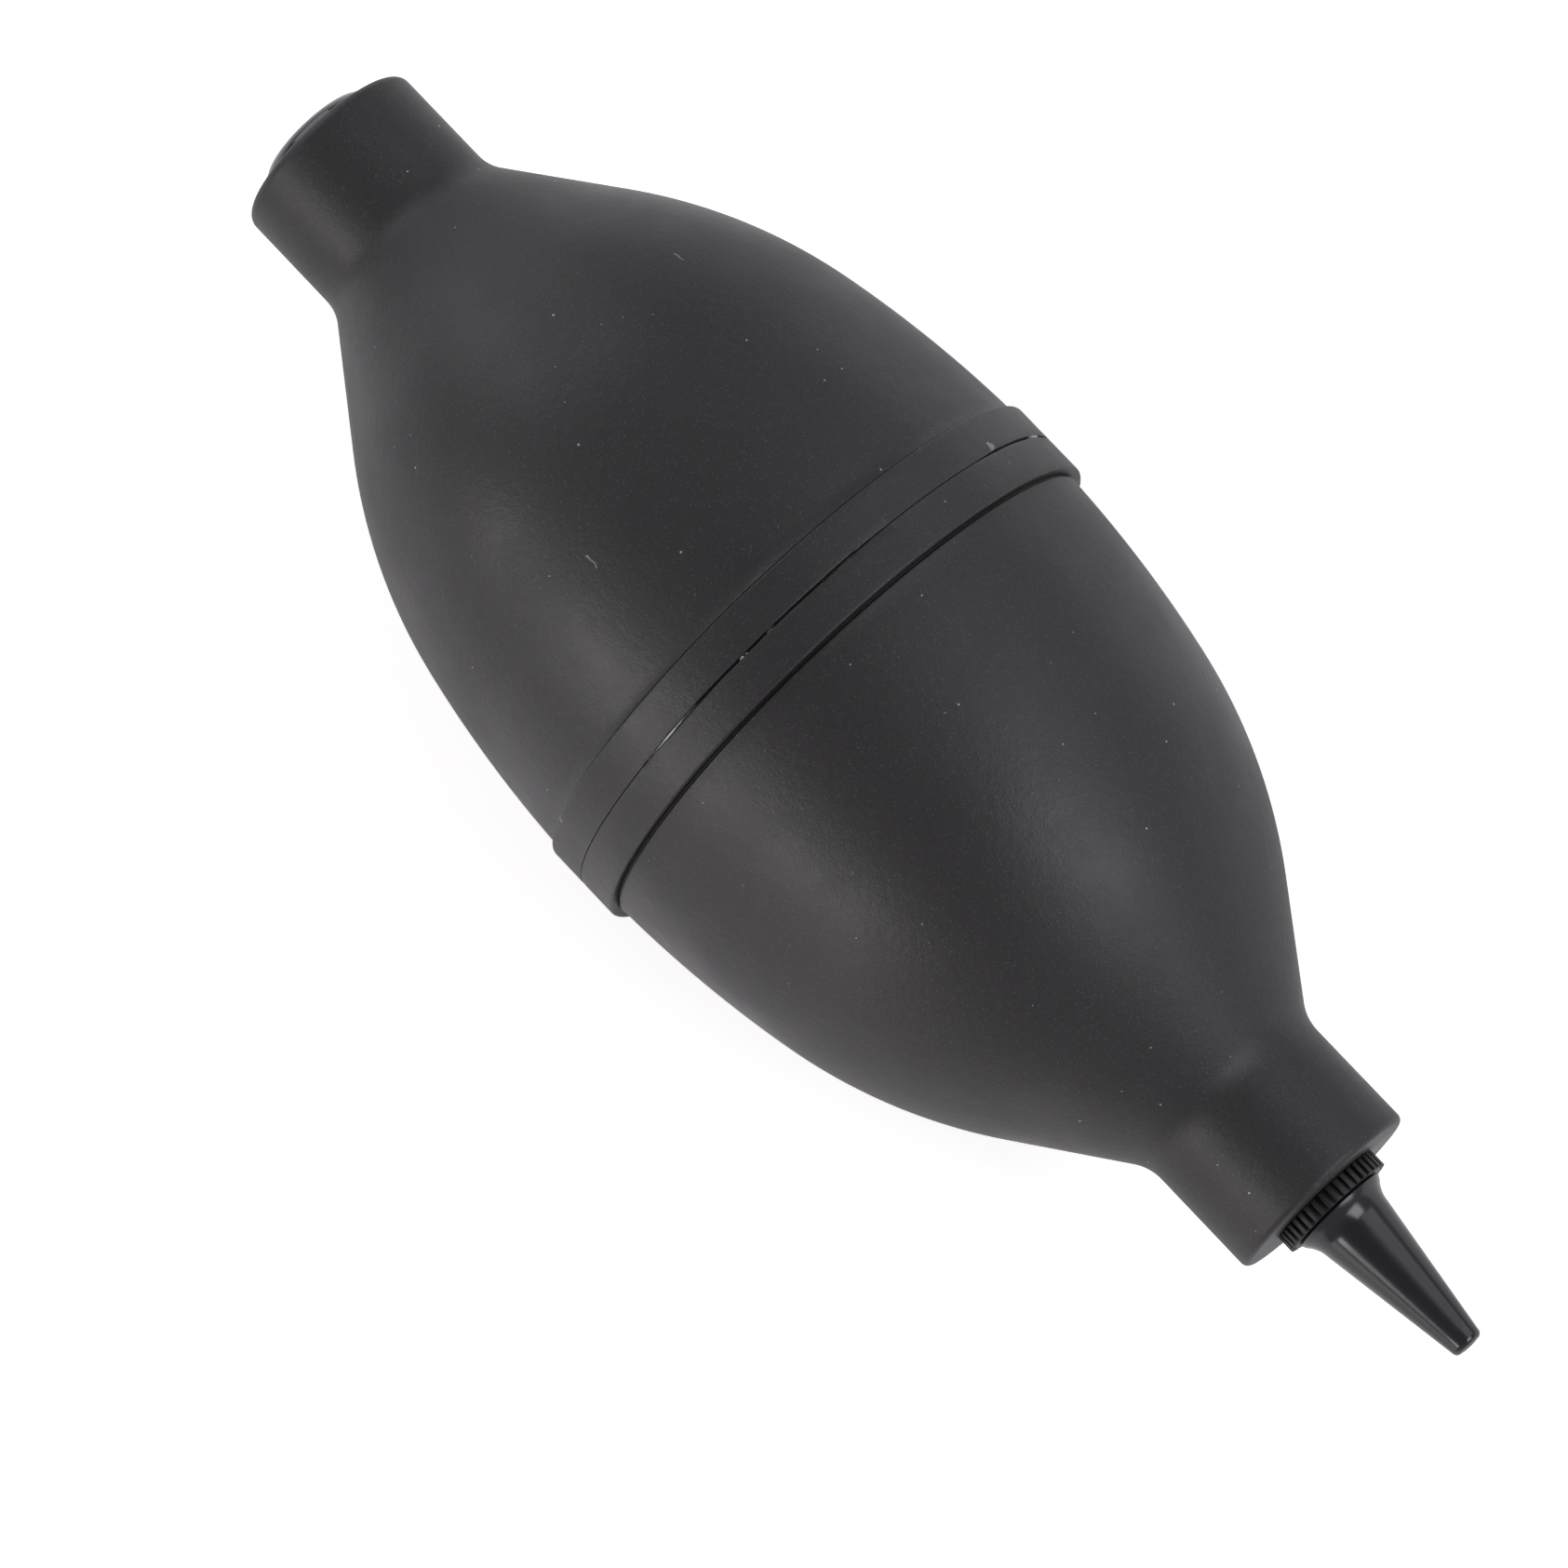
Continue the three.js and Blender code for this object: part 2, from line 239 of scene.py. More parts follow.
class Bench:
    """The moves that the pieces are modelled with."""

    @staticmethod
    def clear() -> None:
        """Leaves nothing selected and no object in edit mode."""
        if bpy.context.object and bpy.context.object.mode != "OBJECT":
            bpy.ops.object.mode_set(mode="OBJECT")
        bpy.ops.object.select_all(action="DESELECT")

    @staticmethod
    def focus(piece: bpy.types.Object) -> None:
        """Makes one object the only selected and active one.

        Args:
            piece: Object that is selected.
        """
        Bench.clear()
        piece.select_set(True)
        bpy.context.view_layer.objects.active = piece

    @staticmethod
    def pick(piece: bpy.types.Object, test: Callable[[Vector], bool]) -> None:
        """Selects, in edit mode, the vertices that pass a test and what lies between them.

        Args:
            piece: Object in edit mode.
            test: Says for a vertex's place whether it is selected.
        """
        bpy.ops.mesh.select_all(action="DESELECT")
        mesh = bmesh.from_edit_mesh(piece.data)
        for vertex in mesh.verts:
            if test(vertex.co):
                vertex.select = True
        mesh.select_flush(True)
        bmesh.update_edit_mesh(piece.data)

    @staticmethod
    def narrow_slit(piece: bpy.types.Object, layout: Layout, reach: float) -> None:
        """Draws a slit's edge towards the waist plane wherever the slit isn't open, in edit mode.

        Args:
            piece: Object in edit mode, turned about the bulb's axis.
            layout: Places in the frame.
            reach: Distance from the waist plane of the vertices that are moved.
        """
        axis = layout.on_axis(layout.waist)
        low = layout.band_radius - 1.5 * MM
        narrowing = 0.6
        for margin in (0, 3, 6):
            Bench.pick(
                piece,
                lambda co: abs(co.x - axis.x) < reach
                and layout.radius(co) > low
                and not layout.in_stretch(co, OPEN_SLITS, margin=margin),
            )
            bpy.ops.transform.resize(value=(narrowing, 1, 1), center_override=axis)

    @staticmethod
    def tidy() -> None:
        """Merges doubles and turns all faces outwards, in edit mode."""
        bpy.ops.mesh.select_all(action="SELECT")
        bpy.ops.mesh.remove_doubles(threshold=MERGE)
        bpy.ops.mesh.dissolve_degenerate(threshold=MERGE / 2)
        bpy.ops.mesh.normals_make_consistent(inside=False)

    @staticmethod
    def settle(piece: bpy.types.Object, smooth_angle: float = 32) -> bpy.types.Object:
        """Puts the object's place into its mesh and shades it smooth up to an angle.

        Args:
            piece: Object to finish.
            smooth_angle: Edges sharper than this, in degrees, stay sharp.

        Returns:
            The same object.
        """
        Bench.focus(piece)
        bpy.ops.object.transform_apply(location=True, rotation=True, scale=True)
        bpy.ops.object.shade_smooth_by_angle(angle=math.radians(smooth_angle))
        return piece

    @staticmethod
    def apply(piece: bpy.types.Object, kind: str, **settings: object) -> None:
        """Adds a modifier with its settings and applies it.

        Args:
            piece: Object that the modifier works on.
            kind: Blender's name for the modifier type.
            **settings: Values for the modifier's properties.
        """
        Bench.focus(piece)
        modifier = piece.modifiers.new(kind.title(), kind)
        for name, value in settings.items():
            setattr(modifier, name, value)
        bpy.ops.object.modifier_apply(modifier=modifier.name)

    @staticmethod
    def carve(piece: bpy.types.Object, tool: bpy.types.Object, operation: str = "DIFFERENCE") -> None:
        """Cuts a tool object away from a piece, or joins it on, and removes the tool.

        Args:
            piece: Object that is changed.
            tool: Closed object that is used up.
            operation: Blender's name for the boolean operation.
        """
        Bench.apply(piece, "BOOLEAN", operation=operation, object=tool, solver="MANIFOLD")
        bpy.data.objects.remove(tool, do_unlink=True)

    @staticmethod
    def chain(name: str, points: Iterable[Vector]) -> bpy.types.Object:
        """Draws a chain of edges by extruding one vertex from point to point.

        Args:
            name: Name of the new object.
            points: Points of the chain, in order.

        Returns:
            The new object, in edit mode, with the whole chain selected.
        """
        route = list(points)
        Bench.clear()
        bpy.ops.mesh.primitive_plane_add(size=MM, location=route[0])
        piece = bpy.context.object
        piece.name = piece.data.name = name
        bpy.ops.object.transform_apply(location=True, rotation=True, scale=True)
        bpy.ops.object.mode_set(mode="EDIT")
        bpy.ops.mesh.select_all(action="SELECT")
        bpy.ops.mesh.merge(type="CENTER")
        for here, there in zip(route, route[1:]):
            bpy.ops.mesh.extrude_region_move(TRANSFORM_OT_translate={"value": there - here})
        bpy.ops.mesh.select_all(action="SELECT")
        return piece

    @staticmethod
    def turn(name: str, outline: Outline, layout: Layout, steps: int = SMALL_ROUND) -> bpy.types.Object:
        """Turns an outline into a closed piece about the bulb's axis.

        Args:
            name: Name of the new object.
            outline: Outline with its places along X. It starts and ends on the axis, or it is closed here.
            layout: Places in the frame.
            steps: Faces around the axis.

        Returns:
            The new object, in edit mode.
        """
        closed = outline.points[0][1] > 0 or outline.points[-1][1] > 0
        points = outline.points + outline.points[:1] if closed else outline.points
        route = [layout.on_axis(place) + Vector((0, 0, radius)) for place, radius in points]
        piece = Bench.chain(name, route)
        bpy.ops.mesh.remove_doubles(threshold=MERGE)
        bpy.ops.mesh.spin(
            steps=steps, angle=math.tau, center=layout.on_axis(points[0][0]), axis=(1, 0, 0), dupli=False
        )
        Bench.tidy()
        return piece

    @staticmethod
    def rod(
        layout: Layout, radius: float, start: float, end: float, vertices: int = SMALL_ROUND
    ) -> bpy.types.Object:
        """Adds a plain round rod on the bulb's axis.

        Args:
            layout: Places in the frame.
            radius: Radius of the rod.
            start: Place of its inner end, along X.
            end: Place of its outer end.
            vertices: Corners around it.

        Returns:
            The rod.
        """
        Bench.clear()
        bpy.ops.mesh.primitive_cylinder_add(
            vertices=vertices,
            radius=radius,
            depth=end - start,
            location=layout.on_axis((start + end) / 2),
            rotation=(0, math.pi / 2, 0),
        )
        bpy.ops.object.transform_apply(location=True, rotation=True, scale=True)
        return bpy.context.object

    @staticmethod
    def pins(
        layout: Layout, count: int, radius: float, circle: float, start: float, end: float, flare: float = 0
    ) -> list[bpy.types.Object]:
        """Makes a ring of round pins that stand along the axis, for cutting holes.

        Args:
            layout: Places in the frame.
            count: Number of pins.
            radius: Radius of a pin at its inner end.
            circle: Radius of the circle that the pins stand on.
            start: Place of the outer end along X.
            end: Place of the inner end.
            flare: How much wider the outer end is, for a countersunk hole.

        Returns:
            The pins.
        """
        made = []
        for index in range(count):
            angle = math.tau * (index + 0.5) / count
            offset = Vector((0, circle * math.cos(angle), circle * math.sin(angle)))
            Bench.clear()
            bpy.ops.mesh.primitive_cone_add(
                vertices=32,
                radius1=radius + flare,
                radius2=radius,
                depth=end - start,
                location=layout.on_axis((start + end) / 2) + offset,
                rotation=(0, math.pi / 2, 0),
            )
            made.append(bpy.context.object)
        return made


class ShaderGroup:
    """A shared effect, as a node group with named inputs and outputs."""

    def __init__(self, name: str) -> None:
        """Starts an empty group.

        Args:
            name: Name of the node group.
        """
        self.tree = bpy.data.node_groups.new(name, "ShaderNodeTree")
        self.inputs = self.tree.nodes.new("NodeGroupInput")
        self.outputs = self.tree.nodes.new("NodeGroupOutput")
        self.socket("Vector", "NodeSocketVector")

    def socket(self, name: str, kind: str = "NodeSocketFloat", default: float | None = None) -> None:
        """Adds a named input.

        Args:
            name: Name of the input.
            kind: Blender's socket type.
            default: Value that it has when nothing is plugged in.
        """
        made = self.tree.interface.new_socket(name=name, in_out="INPUT", socket_type=kind)
        if default is not None:
            made.default_value = default

    def output(self, name: str, source: bpy.types.NodeSocket) -> None:
        """Adds a named output and feeds it."""
        self.tree.interface.new_socket(name=name, in_out="OUTPUT", socket_type="NodeSocketFloat")
        self.tree.links.new(source, self.outputs.inputs[name])

    def feed(self, name: str) -> bpy.types.NodeSocket:
        """Returns the socket that carries a named input inside the group."""
        return self.inputs.outputs[name]


class Wiring:
    """Adds and links nodes in one tree."""

    def __init__(self, tree: bpy.types.NodeTree) -> None:
        """Starts wiring a tree.

        Args:
            tree: Node tree to work in.
        """
        self.tree = tree

    def node(self, kind: str, **settings: object) -> bpy.types.Node:
        """Adds a node.

        Args:
            kind: Blender's node type.
            **settings: Values for the node's own properties.

        Returns:
            The new node.
        """
        made = self.tree.nodes.new(kind)
        for name, value in settings.items():
            setattr(made, name, value)
        return made

    def put(self, value: object, socket: bpy.types.NodeSocket) -> None:
        """Links a socket to an input, or sets the input to a constant.

        Args:
            value: Socket or constant.
            socket: Input that it is put in.
        """
        if isinstance(value, bpy.types.NodeSocket):
            self.tree.links.new(value, socket)
        else:
            socket.default_value = value

    def math(self, operation: str, first: object, second: object = 0.0) -> bpy.types.NodeSocket:
        """Adds a math node.

        Args:
            operation: Blender's name for the operation.
            first: Socket or number for the first input.
            second: Socket or number for the second input.

        Returns:
            The result's socket.
        """
        made = self.node("ShaderNodeMath", operation=operation)
        self.put(first, made.inputs[0])
        self.put(second, made.inputs[1])
        return made.outputs[0]

    def remap(
        self, value: object, low: object, high: object, start: float, end: float
    ) -> bpy.types.NodeSocket:
        """Maps low to high onto start to end, smoothly and clamped.

        Args:
            value: Socket that is mapped.
            low: Socket or number that gives start.
            high: Socket or number that gives end.
            start: Result at low.
            end: Result at high.

        Returns:
            The result's socket.
        """
        made = self.node("ShaderNodeMapRange", interpolation_type="SMOOTHSTEP")
        for socket, given in zip(made.inputs, (value, low, high, start, end)):
            self.put(given, socket)
        return made.outputs[0]

    def noise(
        self, vector: object, scale: object, detail: float = 2, rough: float = 0.5
    ) -> bpy.types.NodeSocket:
        """Adds a noise texture.

        Args:
            vector: Socket with the coordinates.
            scale: Socket or number for the scale, in features per metre.
            detail: Octaves.
            rough: Strength of each finer octave.

        Returns:
            The socket of the noise's value.
        """
        made = self.node("ShaderNodeTexNoise")
        self.put(vector, made.inputs["Vector"])
        self.put(scale, made.inputs["Scale"])
        made.inputs["Detail"].default_value = detail
        made.inputs["Roughness"].default_value = rough
        return made.outputs[0]

    def blend(self, share: object, first: object, second: object) -> bpy.types.NodeSocket:
        """Mixes two colours.

        Args:
            share: Socket or number from 0, the first colour, to 1, the second.
            first: Socket or colour.
            second: Socket or colour.

        Returns:
            The mixed colour's socket.
        """
        made = self.node("ShaderNodeMix", data_type="RGBA", clamp_factor=True)
        self.put(share, made.inputs[0])
        self.put(first, made.inputs[6])
        self.put(second, made.inputs[7])
        return made.outputs[2]


class Effects:
    """The shared node groups, each built once."""

    def __init__(self) -> None:
        """Builds every group."""
        self.grain = self._grain()
        self.haze = self._haze()
        self.dust = self._dust()
        self.edge = self._edge()

    @staticmethod
    def _grain() -> bpy.types.NodeTree:
        """Fine moulded grain: a height for bump and a tone for colour.

        Returns:
            The node group.
        """
        group = ShaderGroup("fine_grain")
        group.socket("Scale", default=5000)
        wires = Wiring(group.tree)
        fine = wires.noise(group.feed("Vector"), group.feed("Scale"), detail=3, rough=0.6)
        coarse = wires.noise(group.feed("Vector"), wires.math("DIVIDE", group.feed("Scale"), 4.0), detail=2)
        group.output("Height", wires.math("ADD", wires.math("MULTIPLY", fine, 0.7), coarse))
        group.output("Tone", wires.remap(fine, 0.35, 0.65, 0.0, 1.0))
        return group.tree

    @staticmethod
    def _haze() -> bpy.types.NodeTree:
        """Broad, soft patches where the surface was handled.

        Returns:
            The node group.
        """
        group = ShaderGroup("handling_haze")
        group.socket("Scale", default=40)
        wires = Wiring(group.tree)
        broad = wires.noise(group.feed("Vector"), group.feed("Scale"), detail=4, rough=0.55)
        group.output("Mask", wires.remap(broad, 0.36, 0.66, 0.0, 1.0))
        return group.tree

    @staticmethod
    def _dust() -> bpy.types.NodeTree:
        """Sparse pale specks and a few short lint fibres.

        Returns:
            The node group.
        """
        group = ShaderGroup("dust_and_lint")
        group.socket("Scale", default=480)
        group.socket("Size", default=0.05)
        group.socket("Amount", default=0.5)
        group.socket("Lint", default=0.0)
        wires = Wiring(group.tree)
        specks = wires.node("ShaderNodeTexVoronoi")
        wires.put(group.feed("Vector"), specks.inputs["Vector"])
        wires.put(group.feed("Scale"), specks.inputs["Scale"])
        lucky = wires.node("ShaderNodeSeparateColor")
        wires.put(specks.outputs["Color"], lucky.inputs[0])
        kept = wires.math("LESS_THAN", lucky.outputs[0], group.feed("Amount"))
        size = wires.math("MULTIPLY", wires.remap(lucky.outputs[1], 0.0, 1.0, 0.3, 1.0), group.feed("Size"))
        dot = wires.math("LESS_THAN", specks.outputs["Distance"], size)
        strength = wires.remap(lucky.outputs[2], 0.0, 1.0, 0.25, 1.0)
        speck_mask = wires.math("MULTIPLY", wires.math("MULTIPLY", dot, kept), strength)
        curls_per_metre, curl_reach = 300, 3 * MM
        fibres_per_metre, fibre_width = 90, 0.004
        curl = wires.node("ShaderNodeTexNoise")
        wires.put(group.feed("Vector"), curl.inputs["Vector"])
        wires.put(curls_per_metre, curl.inputs["Scale"])
        swirl = wires.node("ShaderNodeVectorMath", operation="MULTIPLY_ADD")
        wires.put(curl.outputs["Color"], swirl.inputs[0])
        wires.put((curl_reach,) * 3, swirl.inputs[1])
        wires.put(group.feed("Vector"), swirl.inputs[2])
        bent = wires.node("ShaderNodeTexVoronoi", feature="DISTANCE_TO_EDGE")
        wires.put(swirl.outputs[0], bent.inputs["Vector"])
        wires.put(fibres_per_metre, bent.inputs["Scale"])
        fibre = wires.math("LESS_THAN", bent.outputs["Distance"], fibre_width)
        stretch = wires.noise(group.feed("Vector"), 330.0, detail=1)
        lint = wires.math("MULTIPLY", fibre, wires.math("GREATER_THAN", stretch, 0.75))
        lint = wires.math("MULTIPLY", lint, group.feed("Lint"))
        group.output("Mask", wires.math("MAXIMUM", speck_mask, lint))
        return group.tree

    @staticmethod
    def _edge() -> bpy.types.NodeTree:
        """Convex edges, painted paler: a painted highlight along them, and rubbing.

        Returns:
            The node group.
        """
        group = ShaderGroup("edge_highlight_and_rubbing")
        group.socket("Low", default=0.51)
        group.socket("High", default=0.6)
        wires = Wiring(group.tree)
        pointiness = wires.node("ShaderNodeNewGeometry").outputs["Pointiness"]
        patch = wires.noise(group.feed("Vector"), 700.0, detail=3)
        # Paler on convex edges: a painted highlight along them, and rubbing.
        highlight_rub_mask = wires.remap(pointiness, group.feed("Low"), group.feed("High"), 0.0, 1.0)
        group.output("Mask", wires.math("MULTIPLY", highlight_rub_mask, wires.remap(patch, 0.3, 0.6, 0.3, 1.0)))
        return group.tree


@dataclass(frozen=True)
class Finish:
    """A moulded finish: colour, gloss, grain, handling, dust, and convex edges painted paler as a highlight
    and as rubbing.

    Args:
        name: Name of the material.
        slot: Slot of the record that it belongs to.
        deep: Colour of clean, undisturbed surface.
        pale: Colour where it was handled.
        gloss: Roughness of the smoothest and the roughest patches.
        grain_scale: Grains per metre.
        grain_depth: Height of the grain.
        relief: Strength with which that height shows.
        dust: Share of the speck cells that hold a speck.
        edge_highlight_and_rub: Strength of the paler convex edges, a painted highlight along them and
            rubbing.
        coat: Weight of the clear gloss on top.
        coat_roughness: Roughness of that gloss.
        ior: Index of refraction.
        haze_scale: Patches per metre.
        shine: Strength of the reflection, 0.5 being that of the index of refraction alone.
        lint: Strength of the lint fibres.
        speckle: Strength of the grain's paler points.
        powder: Strength of the fine powder that clings all over.
    """

    name: str
    slot: Slot
    deep: tuple[float, float, float]
    pale: tuple[float, float, float]
    gloss: tuple[float, float]
    grain_scale: float = 5000
    grain_depth: float = 0.02 * MM
    relief: float = 0.6
    dust: float = 0.0
    edge_highlight_and_rub: float = 0.3
    coat: float = 0.0
    coat_roughness: float = 0.06
    ior: float = 1.45
    haze_scale: float = 45
    shine: float = 0.5
    lint: float = 0.0
    speckle: float = 0.25
    powder: float = 0.0

    def material(self, effects: Effects) -> bpy.types.Material:
        """Builds the material.

        Args:
            effects: Shared node groups.

        Returns:
            The finished material.
        """
        made = bpy.data.materials.new(self.name)
        made.use_nodes = True
        made.node_tree.nodes.clear()
        wires = Wiring(made.node_tree)
        place = wires.node("ShaderNodeTexCoord").outputs["Object"]
        haze = self._effect(wires, effects.haze, place, Scale=self.haze_scale)
        grain = self._effect(wires, effects.grain, place, Scale=self.grain_scale)
        edge = self._effect(wires, effects.edge, place)
        colour = wires.blend(haze.outputs["Mask"], (*self.deep, 1), (*self.pale, 1))
        speckle = wires.math("MULTIPLY", grain.outputs["Tone"], self.speckle)
        grainy = wires.blend(speckle, colour, (*self.pale, 1))
        # Convex edges are painted paler: a painted highlight along them, and rubbing.
        gain, lift = 2.2, 0.01
        highlight_rub_tone = tuple(min(1.0, channel * gain + lift) for channel in self.pale)
        shown = wires.blend(wires.math("MULTIPLY", edge.outputs["Mask"], self.edge_highlight_and_rub), grainy, (*highlight_rub_tone, 1))
        if self.powder > 0:
            powder = self._effect(wires, effects.dust, place, **POWDER)
            amount = wires.math("MULTIPLY", powder.outputs["Mask"], self.powder)
            shown = wires.blend(amount, shown, DUST_TONE)
        if self.dust > 0:
            dust = self._effect(wires, effects.dust, place, Amount=self.dust, Lint=self.lint)
            shown = wires.blend(dust.outputs["Mask"], shown, DUST_TONE)
        rough = wires.remap(haze.outputs["Mask"], 0.0, 1.0, self.gloss[1], self.gloss[0])
        shader = wires.node("ShaderNodeBsdfPrincipled")
        wires.put(shown, shader.inputs["Base Color"])
        wires.put(rough, shader.inputs["Roughness"])
        shader.inputs["IOR"].default_value = self.ior
        shader.inputs["Specular IOR Level"].default_value = self.shine
        shader.inputs["Coat Weight"].default_value = self.coat
        shader.inputs["Coat Roughness"].default_value = self.coat_roughness
        bump = wires.node("ShaderNodeBump")
        bump.inputs["Strength"].default_value = self.relief
        bump.inputs["Distance"].default_value = self.grain_depth
        wires.put(grain.outputs["Height"], bump.inputs["Height"])
        wires.put(bump.outputs[0], shader.inputs["Normal"])
        sink = wires.node("ShaderNodeOutputMaterial")
        wires.put(shader.outputs[0], sink.inputs["Surface"])
        return made

    @staticmethod
    def _effect(wires: Wiring, tree: bpy.types.NodeTree, place: object, **values: float) -> bpy.types.Node:
        """Adds a shared effect with its own values.

        Args:
            wires: Wiring of the material.
            tree: Node group of the effect.
            place: Socket with the coordinates.
            **values: Values for the group's named inputs.

        Returns:
            The group node.
        """
        made = wires.node("ShaderNodeGroup", node_tree=tree)
        wires.put(place, made.inputs["Vector"])
        for name, value in values.items():
            made.inputs[name].default_value = value
        return made


FINISHES = (
    Finish("matte_silicone", Slot.SILICONE, (0.0158, 0.015, 0.0159), (0.0215, 0.0203, 0.0213), (0.4, 0.5),
           grain_scale=4600, grain_depth=0.05 * MM, dust=0.8, edge_highlight_and_rub=0.35, ior=1.43, lint=0.45, speckle=0.6,
           powder=0.1),
    Finish("glossy_joint_bead", Slot.JOINT, (0.006, 0.006, 0.0065), (0.012, 0.012, 0.012), (0.15, 0.21),
           grain_scale=900, grain_depth=0.02 * MM, edge_highlight_and_rub=0.0, coat=0.6),
    Finish("satin_insert_plastic", Slot.INSERT, (0.015, 0.015, 0.016), (0.024, 0.024, 0.025), (0.35, 0.5),
           grain_depth=0.008 * MM),
    Finish("milky_flap_silicone", Slot.FLAP, (0.5, 0.49, 0.45), (0.62, 0.6, 0.56), (0.4, 0.55), edge_highlight_and_rub=0.0),
    Finish("grey_filter_foam", Slot.FOAM, (0.03, 0.03, 0.033), (0.1, 0.1, 0.11), (0.9, 1.0),
           grain_scale=2600, grain_depth=0.4 * MM, edge_highlight_and_rub=0.0),
    Finish("polished_black_cap", Slot.CAP, (0.004, 0.0055, 0.013), (0.007, 0.009, 0.019), (0.06, 0.13),
           grain_scale=1500, grain_depth=0.003 * MM, dust=0.2, edge_highlight_and_rub=0.15, coat=0.6, ior=1.5),
    Finish("seal_rubber", Slot.SEAL, (0.01, 0.01, 0.01), (0.018, 0.018, 0.018), (0.45, 0.6)),
    Finish("dull_knurled_black", Slot.COLLAR, (0.006, 0.0058, 0.006), (0.011, 0.0106, 0.011), (0.36, 0.48),
           grain_scale=7000, grain_depth=0.01 * MM, edge_highlight_and_rub=0.6, dust=0.3, shine=0.42),
    Finish("semi_gloss_nozzle", Slot.NOZZLE, (0.0105, 0.0113, 0.0145), (0.015, 0.016, 0.0195), (0.16, 0.2),
           grain_scale=2500, grain_depth=0.002 * MM, edge_highlight_and_rub=0.3, dust=0.12, ior=1.5),
)


class Wardrobe:
    """Every finish, ready to be put on a piece."""

    def __init__(self) -> None:
        """Builds all materials."""
        effects = Effects()
        self.by_slot = {finish.slot: finish.material(effects) for finish in FINISHES}

    def dress(self, piece: bpy.types.Object, slot: Slot) -> bpy.types.Object:
        """Puts a finish on a piece.

        Args:
            piece: Object to dress.
            slot: Slot whose finish it gets.

        Returns:
            The same object.
        """
        piece.data.materials.clear()
        piece.data.materials.append(self.by_slot[slot])
        return piece


